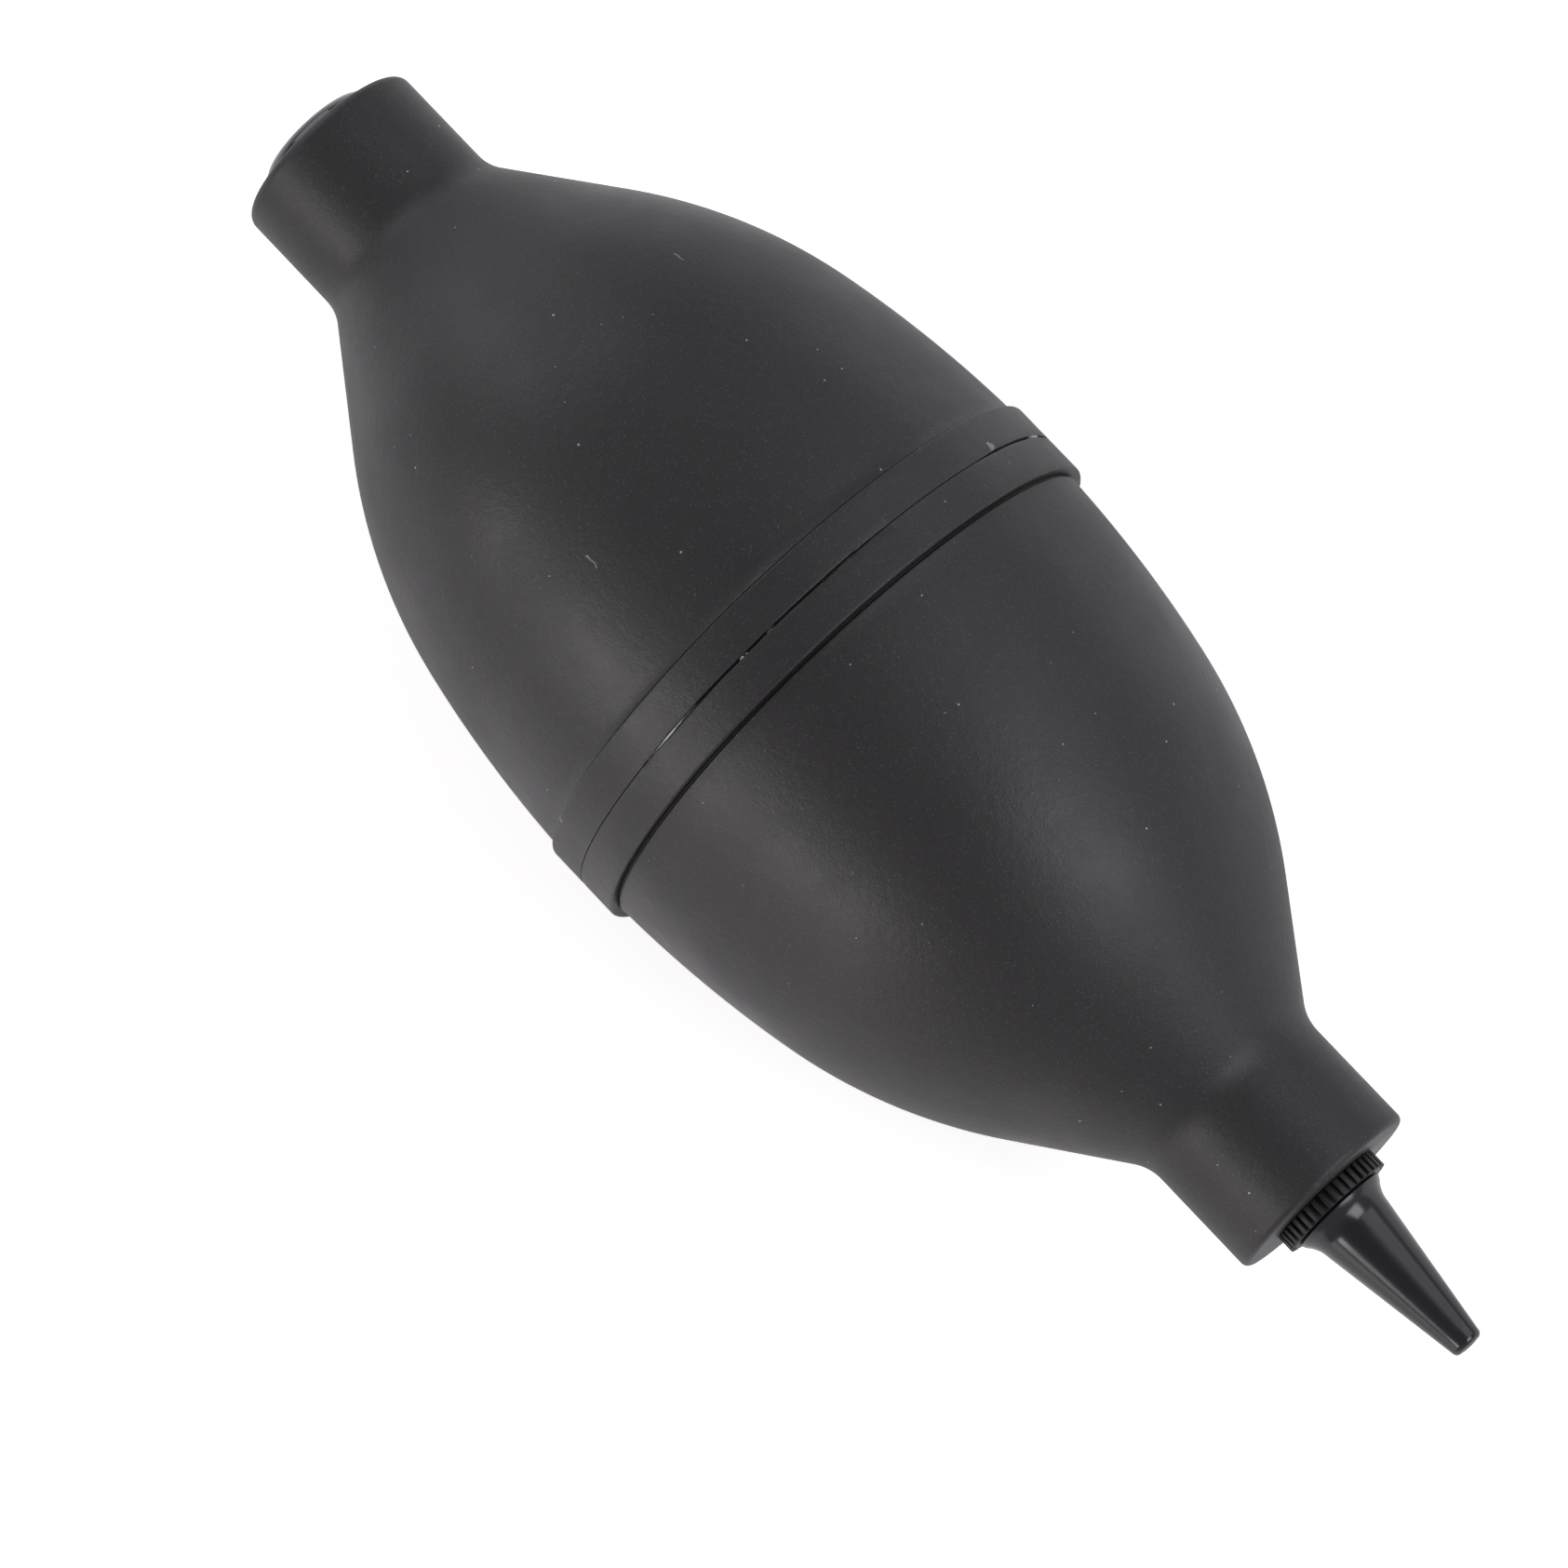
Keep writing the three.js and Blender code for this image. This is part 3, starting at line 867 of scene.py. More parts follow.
@dataclass
class SiliconeHalf:
    """One moulded half of the bulb: lobe, half of the waist band, and neck.

    Args:
        side: Which way the half points.
        layout: Places in the frame.
        step: Height of the band above the lobe.
        groove: Width of the fine groove at the foot of that step.
        flex_reach: How far from the waist the skin gives, along X. Not used.
        neck_edge: Rounding of the neck's end.
        lip_radius: Opening of the thin lip at the neck's end. It is the bore's radius where there is no lip.
        band_half: Distance from the waist to the band's edge.
        slit_half: Distance from the waist to the half's rim, in the slit of the band.
        lip: Rounding of the rim.
        band_edge: Rounding of the band's edge.
        crown_radius: Radius of the lobe's outline next to the band.
        shoulder_radius: Radius of the lobe's outline towards the neck.
        crown_end: Slope of the outline where crown and shoulder meet, in degrees.
        cone_slope: Slope of the straight run into the neck, in degrees.
        root_fillet: Radius of the hollow at the neck's root.
        neck_radius: Outside of the neck.
        bore: Radius of the neck's bore.
        wall: Thickness of the silicone.
        slit_wander: How far the rim of the slit strays.
        still_side: Place towards +Y, just outside the neck, up to which the skin stands still at that reach.
            Not used.
    """

    side: Side
    layout: Layout
    step: float
    groove: float
    flex_reach: float
    neck_edge: float
    lip_radius: float
    band_half: float = 3.65 * MM
    slit_half: float = 0.11 * MM
    lip: float = 0.13 * MM
    band_edge: float = 0.2 * MM
    crown_radius: float = 110 * MM
    shoulder_radius: float = 48 * MM
    crown_end: float = math.degrees(math.asin(0.2))
    cone_slope: float = 35.5
    root_fillet: float = 4.4 * MM
    neck_radius: float = 9 * MM
    bore: float = 6.35 * MM
    wall: float = 2.2 * MM
    slit_wander: float = 0.05 * MM
    still_side: float = 9.7 * MM

    def _lobe(self, outline: Outline, waist: float, inset: float, start: float) -> tuple[float, float]:
        """Adds the lobe's crown and shoulder to an outline.

        Args:
            outline: Outline that is walked on.
            waist: Radius of the lobe at the waist, before the inset.
            inset: How far inside the outer skin the walk is.
            start: Place along the axis where it starts.

        Returns:
            The foot of the shoulder, where the straight run into the neck starts.
        """
        crown = (0.0, waist - self.crown_radius)
        gap = self.crown_radius - self.shoulder_radius
        end = math.radians(self.crown_end)
        shoulder = (gap * math.sin(end), crown[1] + gap * math.cos(end))
        first = math.degrees(math.asin(start / (self.crown_radius - inset)))
        outline.bend(crown, self.crown_radius - inset, 90 - first, 90 - self.crown_end, 16)
        outline.bend(shoulder, self.shoulder_radius - inset, 90 - self.crown_end, 90 - self.cone_slope, 20)
        return outline.points[-1]

    def _groove(self, outline: Outline, waist: float) -> None:
        """Adds the step down from the band and the fine groove at its foot, in shares of the groove's width.

        Args:
            outline: Outline that is walked on.
            waist: Radius of the lobe at the waist.
        """
        width = self.groove
        floor = waist - 0.7 * (1.2 * width)
        outline.to(self.band_half - 0.1 * width, floor, 4)
        outline.bend((self.band_half + 0.25 * width, floor), 0.3 * width, 190, 340, 4)
        far, shoulder = self.band_half + 0.65 * width, 0.35 * width
        outline.to(far, waist - shoulder, 2)
        outline.bend((far + shoulder, waist - 1.1 * shoulder), shoulder, 170, 95, 4)

    def _outline(self) -> Outline:
        """Walks around the half's section, with places counted from the waist.

        Returns:
            The closed outline.
        """
        face = self.layout.front_face if self.side is Side.FRONT else self.layout.rear_face
        length = abs(face - self.layout.waist)
        band = self.layout.band_radius
        waist = band - self.step
        slope = math.radians(self.cone_slope)
        outline = Outline().to(self.slit_half, band - self.wall)
        outline.to(self.slit_half, band - self.lip, 6)
        outline.bend((self.slit_half + self.lip, band - self.lip), self.lip, 180, 90, 4)
        outline.to(self.band_half - self.band_edge, band, 5)
        outline.bend((self.band_half - self.band_edge, band - self.band_edge), self.band_edge, 90, 0, 5)
        self._groove(outline, waist)
        foot = self._lobe(outline, waist, 0, self.band_half + 1.5 * self.groove)
        rise = self.root_fillet * (1 - math.cos(slope))
        cone_end = foot[0] + (foot[1] - self.neck_radius - rise) / math.tan(slope)
        outline.to(cone_end, self.neck_radius + rise, 9)
        fillet = (cone_end + self.root_fillet * math.sin(slope), self.neck_radius + self.root_fillet)
        outline.bend(fillet, self.root_fillet, 270 - self.cone_slope, 270, 8)
        rim = (length - self.neck_edge, self.neck_radius - self.neck_edge)
        outline.to(rim[0], self.neck_radius, 7)
        outline.bend(rim, self.neck_edge, 90, 0, 7)
        lip_end, chamfer = length - 0.15 * MM, 0.05 * MM
        outline.to(length, self.lip_radius + chamfer, 4).to(length - chamfer, self.lip_radius)
        outline.to(lip_end, self.lip_radius)
        if self.lip_radius < self.bore:
            outline.to(lip_end, self.bore)
        inside = Outline()
        inner_foot = self._lobe(inside, waist, self.wall, self.slit_half)
        bore_end = inner_foot[0] + (inner_foot[1] - self.bore) / math.tan(slope)
        outline.to(bore_end, self.bore, 3)
        outline.points.extend(reversed(inside.points))
        return outline

    def _roughen_slit(self, piece: bpy.types.Object) -> None:
        """Lets the lip of the slit wander a little, as a cut moulding edge does.

        Args:
            piece: The half, in edit mode.
        """
        waist, reach = self.layout.waist, self.slit_half + self.lip * 0.4
        low = self.layout.band_radius - 3 * self.lip
        Bench.pick(piece, lambda co: abs(co.x - waist) < reach and self.layout.radius(co) > low)
        bpy.ops.transform.vertex_random(offset=self.slit_wander, uniform=0.0, normal=0.0, seed=7)
        bpy.ops.mesh.vertices_smooth(factor=0.5, repeat=1)
        Bench.narrow_slit(piece, self.layout, self.slit_half + 1.5 * self.lip)

    def build(self, wardrobe: Wardrobe) -> bpy.types.Object:
        """Models and dresses the half.

        Args:
            wardrobe: Finishes.

        Returns:
            The finished skin.
        """
        side = self.side.name.lower()
        outline = self._outline().placed(self.layout.waist, self.side.value)
        piece = Bench.turn(f"{side}_bulb_skin", outline, self.layout, ROUND)
        self._roughen_slit(piece)
        Bench.settle(piece, 40)
        wardrobe.dress(piece, Slot.SILICONE)
        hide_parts(f"{side}_bulb_half", f"{side}_finger_wall")
        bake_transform(piece)
        return piece


@dataclass
class WaistJoint:
    """Lap ring inside the joint, with a glossy bead that stands in the slit of the band.

    Args:
        layout: Places in the frame.
        lap_half: Half the length of the ring.
        lap_thickness: Thickness of the ring.
        lap_depth: Depth of the ring below the band.
        lap_chamfer: Drop of the ring's bevelled ends.
        bead_half: Half the width of the bead.
        bead_drop: Depth of the bead's crown below the band.
        bead_wander: How far the bead strays.
        swell: Growth of the bead where it has welled up, along X and outwards.
    """

    layout: Layout
    lap_half: float = 4.5 * MM
    lap_thickness: float = 1.2 * MM
    lap_depth: float = 3.35 * MM
    lap_chamfer: float = 0.4 * MM
    bead_half: float = 0.085 * MM
    bead_drop: float = 0.28 * MM
    bead_wander: float = 0.03 * MM
    swell: tuple[float, float] = (1.25, 1.0034)

    def build(self, wardrobe: Wardrobe) -> bpy.types.Object:
        """Models and dresses the ring.

        Args:
            wardrobe: Finishes.

        Returns:
            The finished ring.
        """
        top = self.layout.band_radius - self.bead_drop
        lap = self.layout.band_radius - self.lap_depth
        outline = Outline().to(-self.lap_half, lap - self.lap_thickness)
        outline.to(-self.lap_half, lap - self.lap_chamfer).to(-self.lap_half + 1 * MM, lap, 2)
        outline.to(-self.bead_half, lap, 3).to(-self.bead_half, top - self.bead_half, 4)
        outline.bend((0.0, top - self.bead_half), self.bead_half, 180, 0, 8)
        outline.to(self.bead_half, lap, 4).to(self.lap_half - 1 * MM, lap, 3)
        outline.to(self.lap_half, lap - self.lap_chamfer, 2).to(self.lap_half, lap - self.lap_thickness)
        piece = Bench.turn("waist_joint_bead", outline.placed(self.layout.waist), self.layout, 2 * ROUND)
        axis = self.layout.on_axis(self.layout.waist)
        rim = top - 3 * self.bead_half
        Bench.pick(piece, lambda co: self.layout.radius(co) > rim)
        bpy.ops.transform.vertex_random(offset=self.bead_wander, uniform=0.0, normal=0.0, seed=3)
        bpy.ops.mesh.vertices_smooth(factor=0.5, repeat=2)
        along, outwards = self.swell
        for share in (1.0, 0.9, 0.8):
            Bench.pick(
                piece,
                lambda co: self.layout.radius(co) > rim and self.layout.in_stretch(co, WELLED_BEAD, share),
            )
            bpy.ops.transform.resize(value=(along, outwards, outwards), center_override=axis)
        Bench.narrow_slit(piece, self.layout, 3 * self.bead_half)
        Bench.settle(piece, 50)
        wardrobe.dress(piece, Slot.JOINT)
        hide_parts("waist_ring")
        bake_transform(piece)
        return piece


@dataclass(frozen=True)
class NeckInsert:
    """Size and barbed outside that both neck inserts share, counted inwards from the neck's face.

    Args:
        recess: Depth of the open face.
        radius: Radius over the barbs.
        length: Length of the insert.
        barb_depth: Depth of the hollows between the barbs.
        land: Length of the plain land at the open face.
        count: Number of barbs.
    """

    recess: float = 0.2 * MM
    radius: float = 6.15 * MM
    length: float = 12.3 * MM
    barb_depth: float = 0.55 * MM
    land: float = 2.4 * MM
    count: int = 3

    @property
    def end(self) -> float:
        """Inner end of the insert."""
        return self.recess + self.length

    def outside(self) -> Outline:
        """Walks along the barbed outside, from the open face inwards.

        Returns:
            The open outline.
        """
        face, radius, hollow = self.recess, self.radius, self.radius - self.barb_depth
        pitch = (self.length - self.land) / self.count
        outline = Outline().to(face, radius - 0.2 * MM).to(face + 0.2 * MM, radius)
        outline.to(face + self.land, radius, 2)
        for index in range(self.count):
            start = face + self.land + index * pitch
            outline.to(start, hollow).to(start + 0.35 * pitch, hollow)
            outline.to(start + 0.35 * pitch, radius - 0.1 * MM).to(start + 0.45 * pitch, radius - 0.02 * MM)
            outline.to(start + pitch, hollow, 2)
        return outline


def fit_rigid(
    wardrobe: Wardrobe, parts: Iterable[tuple[bpy.types.Object, str, Slot, Body]]
) -> list[bpy.types.Object]:
    """Dresses rigid pieces and puts each in the place of its node, on its body.

    Args:
        wardrobe: Finishes.
        parts: Each piece with its node, its slot and its body.

    Returns:
        The pieces.
    """
    made = []
    for piece, node, slot, body in parts:
        wardrobe.dress(piece, slot)
        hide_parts(node)
        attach(piece, body.value)
        made.append(piece)
    return made


@dataclass
class AirInlet:
    """Air inlet in the rear neck: housing, umbrella valve, foam filter and glossy cap.

    Args:
        layout: Places in the frame.
        insert: Size and barbs of the housing.
        pocket_radius: Radius of the pockets on both sides of the valve seat.
        pocket_depth: Depth of the outer pocket, which holds the filter.
        seat_thickness: Thickness of the valve seat.
        ports: Number of air ports through the seat.
        port_radius: Radius of a port.
        port_circle: Radius of the circle that the ports stand on.
        stem_radius: Radius of the valve's stem.
        flap_radius: Radius of the valve's flap.
        filter_radius: Radius of the foam disc.
        filter_thickness: Thickness of the foam disc.
        cap_radius: Radius of the cap.
        cap_edge: Rounding of the cap's edge.
        cap_crown: Rise of the cap's dome.
        cap_holes: Number of air holes in the cap.
        hole_radius: Radius of an air hole.
        hole_circle: Radius of the circle that the holes stand on.
    """

    layout: Layout
    insert: NeckInsert = NeckInsert()
    pocket_radius: float = 5.2 * MM
    pocket_depth: float = 4.4 * MM
    seat_thickness: float = 1.4 * MM
    ports: int = 6
    port_radius: float = 1.1 * MM
    port_circle: float = 3 * MM
    stem_radius: float = 0.7 * MM
    flap_radius: float = 4.4 * MM
    filter_radius: float = 4.85 * MM
    filter_thickness: float = 1 * MM
    cap_radius: float = 6.15 * MM
    cap_edge: float = 1.5 * MM
    cap_crown: float = 0.75 * MM
    cap_holes: int = 8
    hole_radius: float = 0.45 * MM
    hole_circle: float = 3.3 * MM

    @property
    def seat(self) -> float:
        """Inner face of the valve seat, counted inwards from the neck's face."""
        return self.insert.recess + self.pocket_depth + self.seat_thickness

    def _inwards(self, outline: Outline) -> Outline:
        """Returns an outline whose places count inwards from the rear neck's face, put in the frame."""
        return outline.placed(self.layout.rear_face)

    def _housing(self) -> bpy.types.Object:
        """Models the barbed housing with its ported valve seat.

        Returns:
            The housing.
        """
        face, pocket = self.insert.recess, self.pocket_radius
        hub, chamfer = self.stem_radius + 0.15 * MM, 0.15 * MM
        seat_back = self.seat - self.seat_thickness
        outline = self.insert.outside()
        outline.to(self.insert.end, pocket).to(self.seat, pocket).to(self.seat, hub, 3)
        outline.to(seat_back, hub).to(seat_back, pocket, 3)
        outline.to(face + chamfer, pocket).to(face, pocket + chamfer)
        piece = Bench.turn("valve_housing_body", self._inwards(outline), self.layout)
        seat = self.layout.rear_face + self.seat
        start, end = seat - 2 * self.seat_thickness, seat + MM
        for pin in Bench.pins(self.layout, self.ports, self.port_radius, self.port_circle, start, end):
            Bench.carve(piece, pin)
        return Bench.settle(piece)

    def _valve(self) -> bpy.types.Object:
        """Models the umbrella valve: head, stem and a thin domed flap.

        Returns:
            The valve.
        """
        flap, edge = self.seat + 0.1 * MM, 0.15 * MM
        head = self.insert.recess + self.pocket_depth - 1.3 * MM
        head_top = head - 0.45 * MM
        outline = Outline().to(head_top, 0).to(head_top, 0.8 * MM, 2)
        outline.bend((head - 0.2 * MM, 1.05 * MM), 0.25 * MM, 150, 40, 4)
        outline.to(head, self.stem_radius).to(flap - 0.02 * MM, self.stem_radius, 3)
        outline.to(flap, 0.9 * MM).to(flap, self.flap_radius, 4)
        outline.bend((flap + edge, self.flap_radius + 0.05 * MM), edge, 270, 375, 5)
        outline.to(flap + 0.6 * MM, 3 * MM, 3).to(flap + 0.95 * MM, 1.6 * MM, 2).to(flap + 1.05 * MM, 0, 3)
        return Bench.settle(Bench.turn("umbrella_valve", self._inwards(outline), self.layout), 45)

    def _filter(self) -> bpy.types.Object:
        """Models the foam disc with a soft, uneven rim.

        Returns:
            The filter disc.
        """
        start, soft = 1.5 * MM, 0.3 * MM
        end, flat = start + self.filter_thickness, self.filter_radius - soft
        outline = Outline().to(start, 0).to(start, flat, 10)
        outline.bend((start + soft, flat), soft, 180, 90, 4)
        outline.bend((end - soft, flat), soft, 90, 0, 4)
        outline.to(end, 0, 10)
        piece = Bench.turn("filter_disc", self._inwards(outline), self.layout)
        bpy.ops.mesh.select_all(action="SELECT")
        bpy.ops.transform.vertex_random(offset=0.05 * MM, uniform=0.0, normal=0.0, seed=5)
        return Bench.settle(piece, 60)

    def _cap(self) -> bpy.types.Object:
        """Models the domed cap, its clip skirt and its ring of countersunk air holes.

        Returns:
            The cap.
        """
        top = self.layout.rear_end - self.layout.rear_face
        flat = self.cap_radius - self.cap_edge
        dome = (flat * flat + self.cap_crown**2) / (2 * self.cap_crown)
        tilt = math.degrees(math.asin(flat / dome))
        back, skirt_end = 0.1 * MM, 1.3 * MM
        skirt, under = self.pocket_radius - 0.25 * MM, -0.7 * MM
        skirt_inside = skirt - 0.8 * MM
        outline = Outline().bend((top + dome, 0.0), dome, 180, 180 - tilt, 24)
        outline.bend((top + self.cap_crown + self.cap_edge, flat), self.cap_edge, 180, 90, 12)
        outline.to(back - 0.1 * MM, self.cap_radius, 2).to(back, self.cap_radius - 0.1 * MM)
        outline.to(back, skirt, 2).to(skirt_end - 0.2 * MM, skirt).to(skirt_end, skirt - 0.2 * MM)
        outline.to(skirt_end, skirt_inside).to(under, skirt_inside, 2).to(under, 0, 4)
        piece = Bench.turn("inlet_dome", self._inwards(outline), self.layout, 2 * SMALL_ROUND)
        face, countersink = self.layout.rear_end + 0.25 * MM, 0.45 * MM
        for radius, start, end, flare in (
            (self.hole_radius, face - 2 * MM, face + 3 * MM, 0),
            (0.3 * MM, face - 0.3 * MM, face + 0.4 * MM, countersink),
        ):
            for pin in Bench.pins(self.layout, self.cap_holes, radius, self.hole_circle, start, end, flare):
                Bench.carve(piece, pin)
        return Bench.settle(piece)

    def build(self, wardrobe: Wardrobe) -> list[bpy.types.Object]:
        """Models and dresses the whole inlet.

        Args:
            wardrobe: Finishes.

        Returns:
            The inlet's pieces.
        """
        return fit_rigid(wardrobe, (
            (self._housing(), "valve_housing", Slot.INSERT, Body.BULB),
            (self._valve(), "inlet_valve", Slot.FLAP, Body.VALVE),
            (self._filter(), "inlet_filter", Slot.FOAM, Body.BULB),
            (self._cap(), "inlet_cap", Slot.CAP, Body.BULB),
        ))


@dataclass
class NozzleEnd:
    """Front end: threaded bush, seal, knurled collar and tapered nozzle.

    Args:
        layout: Places in the frame.
        insert: Size and barbs of the bush.
        bush_bore: Radius of the bush's threaded bore.
        shelf_bore: Radius of the opening in the shelf at the bush's inner end.
        thread_crest: Outer radius of the collar's thread.
        thread_root: Radius of the collar's sleeve between the turns.
        thread_pitch: Advance of the thread in one turn.
        thread_length: Length of the sleeve.
        thread_start: Distance from the sleeve's end to where the thread starts.
        thread_turns: Number of turns of the thread.
        collar_gap: Gap between the neck's face and the knurled rim.
        collar_thickness: Thickness of the rim.
        collar_radius: Radius over the rim's teeth.
        tooth_depth: Height of a tooth.
        teeth: Number of teeth.
        stem_radius: Radius of the nozzle's stem, which the collar turns on.
        stem_play: Clearance of the collar on the stem.
        head_radius: Radius of the nozzle's retaining head.
        head_length: Length of the head.
        base_radius: Radius of the nozzle's flared base.
        neck_radius: Radius of the nozzle where the flare ends.
        tip_radius: Radius of the tip.
        tip_bore: Radius of the bore at the tip.
        air_bore: Radius of the bore behind it.
        flare: Length of the flare.
    """

    layout: Layout
    insert: NeckInsert = NeckInsert()
    bush_bore: float = 4 * MM
    shelf_bore: float = 2.4 * MM
    thread_crest: float = 3.83 * MM
    thread_root: float = 3.3 * MM
    thread_pitch: float = 1.5 * MM
    thread_length: float = 6.8 * MM
    thread_start: float = 0.3 * MM
    thread_turns: int = 4
    collar_gap: float = 0.1 * MM
    collar_thickness: float = 1.5 * MM
    collar_radius: float = 5.3 * MM
    tooth_depth: float = 0.46 * MM
    teeth: int = 40
    stem_radius: float = 2.6 * MM
    stem_play: float = 0.15 * MM
    head_radius: float = 3.55 * MM
    head_length: float = 1.6 * MM
    base_radius: float = 4.4 * MM
    neck_radius: float = 3.6 * MM
    tip_radius: float = 1.5 * MM
    tip_bore: float = 0.7 * MM
    air_bore: float = 1.6 * MM
    flare: float = 2.1 * MM

    @property
    def collar_back(self) -> float:
        """Back face of the knurled rim, along X."""
        return self.layout.front_face + self.collar_gap

    @property
    def head_front(self) -> float:
        """Front face of the nozzle's retaining head, along X."""
        return self.collar_back - self.thread_length - 0.1 * MM

    def _bush(self) -> bpy.types.Object:
        """Models the barbed bush with its bore and the shelf under the seal.

        Returns:
            The bush.
        """
        face, bore, shelf, chamfer = self.insert.recess, self.bush_bore, self.shelf_bore, 0.4 * MM
        shelf_front = self.layout.front_face - (self.head_front - self.head_length - 1.4 * MM)
        outline = self.insert.outside()
        outline.to(self.insert.end, shelf).to(shelf_front, shelf)
        outline.to(shelf_front, bore).to(face + chamfer, bore, 3).to(face, bore + chamfer)
        placed = outline.placed(self.layout.front_face, -1)
        return Bench.settle(Bench.turn("threaded_bush", placed, self.layout))

    def _seal(self) -> bpy.types.Object:
        """Models the round-edged sealing washer.

        Returns:
            The seal.
        """
        low = self.head_front - self.head_length - 1.3 * MM
        thickness, inner, outer, soft = 1.2 * MM, 2.2 * MM, 3.65 * MM, 0.35 * MM
        outline = Outline()
        for centre, start in (
            ((low + soft, inner + soft), 270),
            ((low + soft, outer - soft), 180),
            ((low + thickness - soft, outer - soft), 90),
            ((low + thickness - soft, inner + soft), 0),
        ):
            outline.bend(centre, soft, start, start - 90, 5)
        return Bench.settle(Bench.turn("seal_washer", outline, self.layout), 50)

    def _knurled_rim(self) -> bpy.types.Object:
        """Models the collar's rim: a short cylinder whose lands are drawn out into teeth.

        Returns:
            The rim, solid through the middle.
        """
        faces_per_tooth = 4
        root = self.collar_radius - self.tooth_depth
        front = self.collar_back + self.collar_thickness
        piece = Bench.rod(self.layout, root, self.collar_back, front, faces_per_tooth * self.teeth)
        piece.name = piece.data.name = "knurled_collar"
        bpy.ops.object.mode_set(mode="EDIT")
        bpy.ops.mesh.select_mode(type="FACE")
        bpy.ops.mesh.select_all(action="DESELECT")
        mesh = bmesh.from_edit_mesh(piece.data)
        per_face = math.tau / (faces_per_tooth * self.teeth)
        for face in mesh.faces:
            if abs(face.normal.x) < 0.5:
                index = round(math.atan2(face.normal.y, face.normal.z) / per_face - 0.5)
                face.select = index % faces_per_tooth in (1, 2)
        bmesh.update_edit_mesh(piece.data)
        bpy.ops.mesh.extrude_region_shrink_fatten(
            TRANSFORM_OT_shrink_fatten={"value": self.tooth_depth, "use_even_offset": False}
        )
        bpy.ops.mesh.select_mode(type="VERT")
        Bench.tidy()
        bpy.ops.object.mode_set(mode="OBJECT")
        Bench.apply(
            piece, "BEVEL", width=0.06 * MM, segments=2, limit_method="ANGLE", angle_limit=math.radians(35)
        )
        return piece

    def _thread(self, start: float, turns: int) -> bpy.types.Object:
        """Winds the ridge of the screw thread: its section, swept along a helix and closed at both ends.

        Args:
            start: Place where the ridge starts, along X.
            turns: Number of turns.

        Returns:
            The ridge.
        """
        pitch, foot, crest = self.thread_pitch, self.thread_root - 0.1 * MM, self.thread_crest
        section = [
            self.layout.on_axis(start + share * pitch) + Vector((0, 0, radius))
            for share, radius in ((0, foot), (0.24, crest), (0.42, crest), (0.66, foot), (0, foot))
        ]
        piece = Bench.chain("thread_ridge", section)
        bpy.ops.mesh.remove_doubles(threshold=MERGE)
        bpy.ops.object.mode_set(mode="OBJECT")
        bpy.context.scene.cursor.location = self.layout.on_axis(start)
        bpy.ops.object.origin_set(type="ORIGIN_CURSOR")
        Bench.apply(piece, "SCREW", axis="X", angle=math.tau, screw_offset=pitch, iterations=turns, steps=64,
                    render_steps=64, use_merge_vertices=True, merge_threshold=MERGE)
        bpy.ops.object.transform_apply(location=True, rotation=True, scale=True)
        bpy.ops.object.mode_set(mode="EDIT")
        bpy.ops.mesh.select_all(action="SELECT")
        bpy.ops.mesh.fill_holes(sides=0)
        Bench.tidy()
        bpy.ops.object.mode_set(mode="OBJECT")
        return piece

    def _collar(self) -> bpy.types.Object:
        """Models the captive collar: knurled rim, threaded sleeve and bore.

        Returns:
            The collar.
        """
        piece = self._knurled_rim()
        end, back = self.collar_back - self.thread_length, self.collar_back
        bore, overlap = self.stem_radius + self.stem_play, 0.3 * MM
        Bench.carve(piece, Bench.rod(self.layout, self.thread_root, end, back + overlap), "UNION")
        Bench.carve(piece, self._thread(end + self.thread_start, self.thread_turns), "UNION")
        Bench.carve(piece, Bench.rod(self.layout, bore, end - MM, back + 3 * MM))
        return Bench.settle(piece, 35)

    def _nozzle(self) -> bpy.types.Object:
        """Models the tapered nozzle with its flared base, stem and retaining head.

        Returns:
            The nozzle.
        """
        head_back = self.head_front - self.head_length
        base = self.collar_back + self.collar_thickness + 0.1 * MM
        tip, tip_edge, base_edge = self.layout.tip, 0.55 * MM, 0.15 * MM
        outline = Outline().to(head_back, self.air_bore).to(head_back, self.head_radius - 0.5 * MM)
        outline.to(head_back + 0.6 * MM, self.head_radius).to(self.head_front, self.head_radius)
        outline.to(self.head_front, self.stem_radius).to(base, self.stem_radius, 3)
        outline.to(base, self.base_radius - base_edge)
        outline.bend((base + base_edge, self.base_radius - base_edge), base_edge, 180, 90, 3)
        fall, draft, hollow, steps = self.base_radius - self.neck_radius, 0.18 * MM, 2.4, 10
        for step in range(1, steps + 1):
            share = step / steps
            radius = self.neck_radius + fall * (1 - share) ** hollow - draft * share
            outline.to(base + 0.3 * MM + share * self.flare, radius)
        outline.to(tip - tip_edge, self.tip_radius, 10)
        outline.bend((tip - tip_edge, self.tip_radius - tip_edge), tip_edge, 84, 0, 6)
        outline.to(tip, self.tip_bore + 0.12 * MM).to(tip - 0.15 * MM, self.tip_bore)
        outline.to(tip - 3 * MM, self.tip_bore).to(base + 2 * MM, self.air_bore, 2)
        return Bench.settle(Bench.turn("tapered_nozzle", outline, self.layout), 35)

    def build(self, wardrobe: Wardrobe) -> list[bpy.types.Object]:
        """Models and dresses the whole front end.

        Args:
            wardrobe: Finishes.

        Returns:
            The pieces of the front end.
        """
        return fit_rigid(wardrobe, (
            (self._bush(), "front_bush", Slot.INSERT, Body.BULB),
            (self._seal(), "nozzle_seal", Slot.SEAL, Body.BULB),
            (self._collar(), "nozzle_collar", Slot.COLLAR, Body.COLLAR),
            (self._nozzle(), "nozzle", Slot.NOZZLE, Body.NOZZLE),
        ))


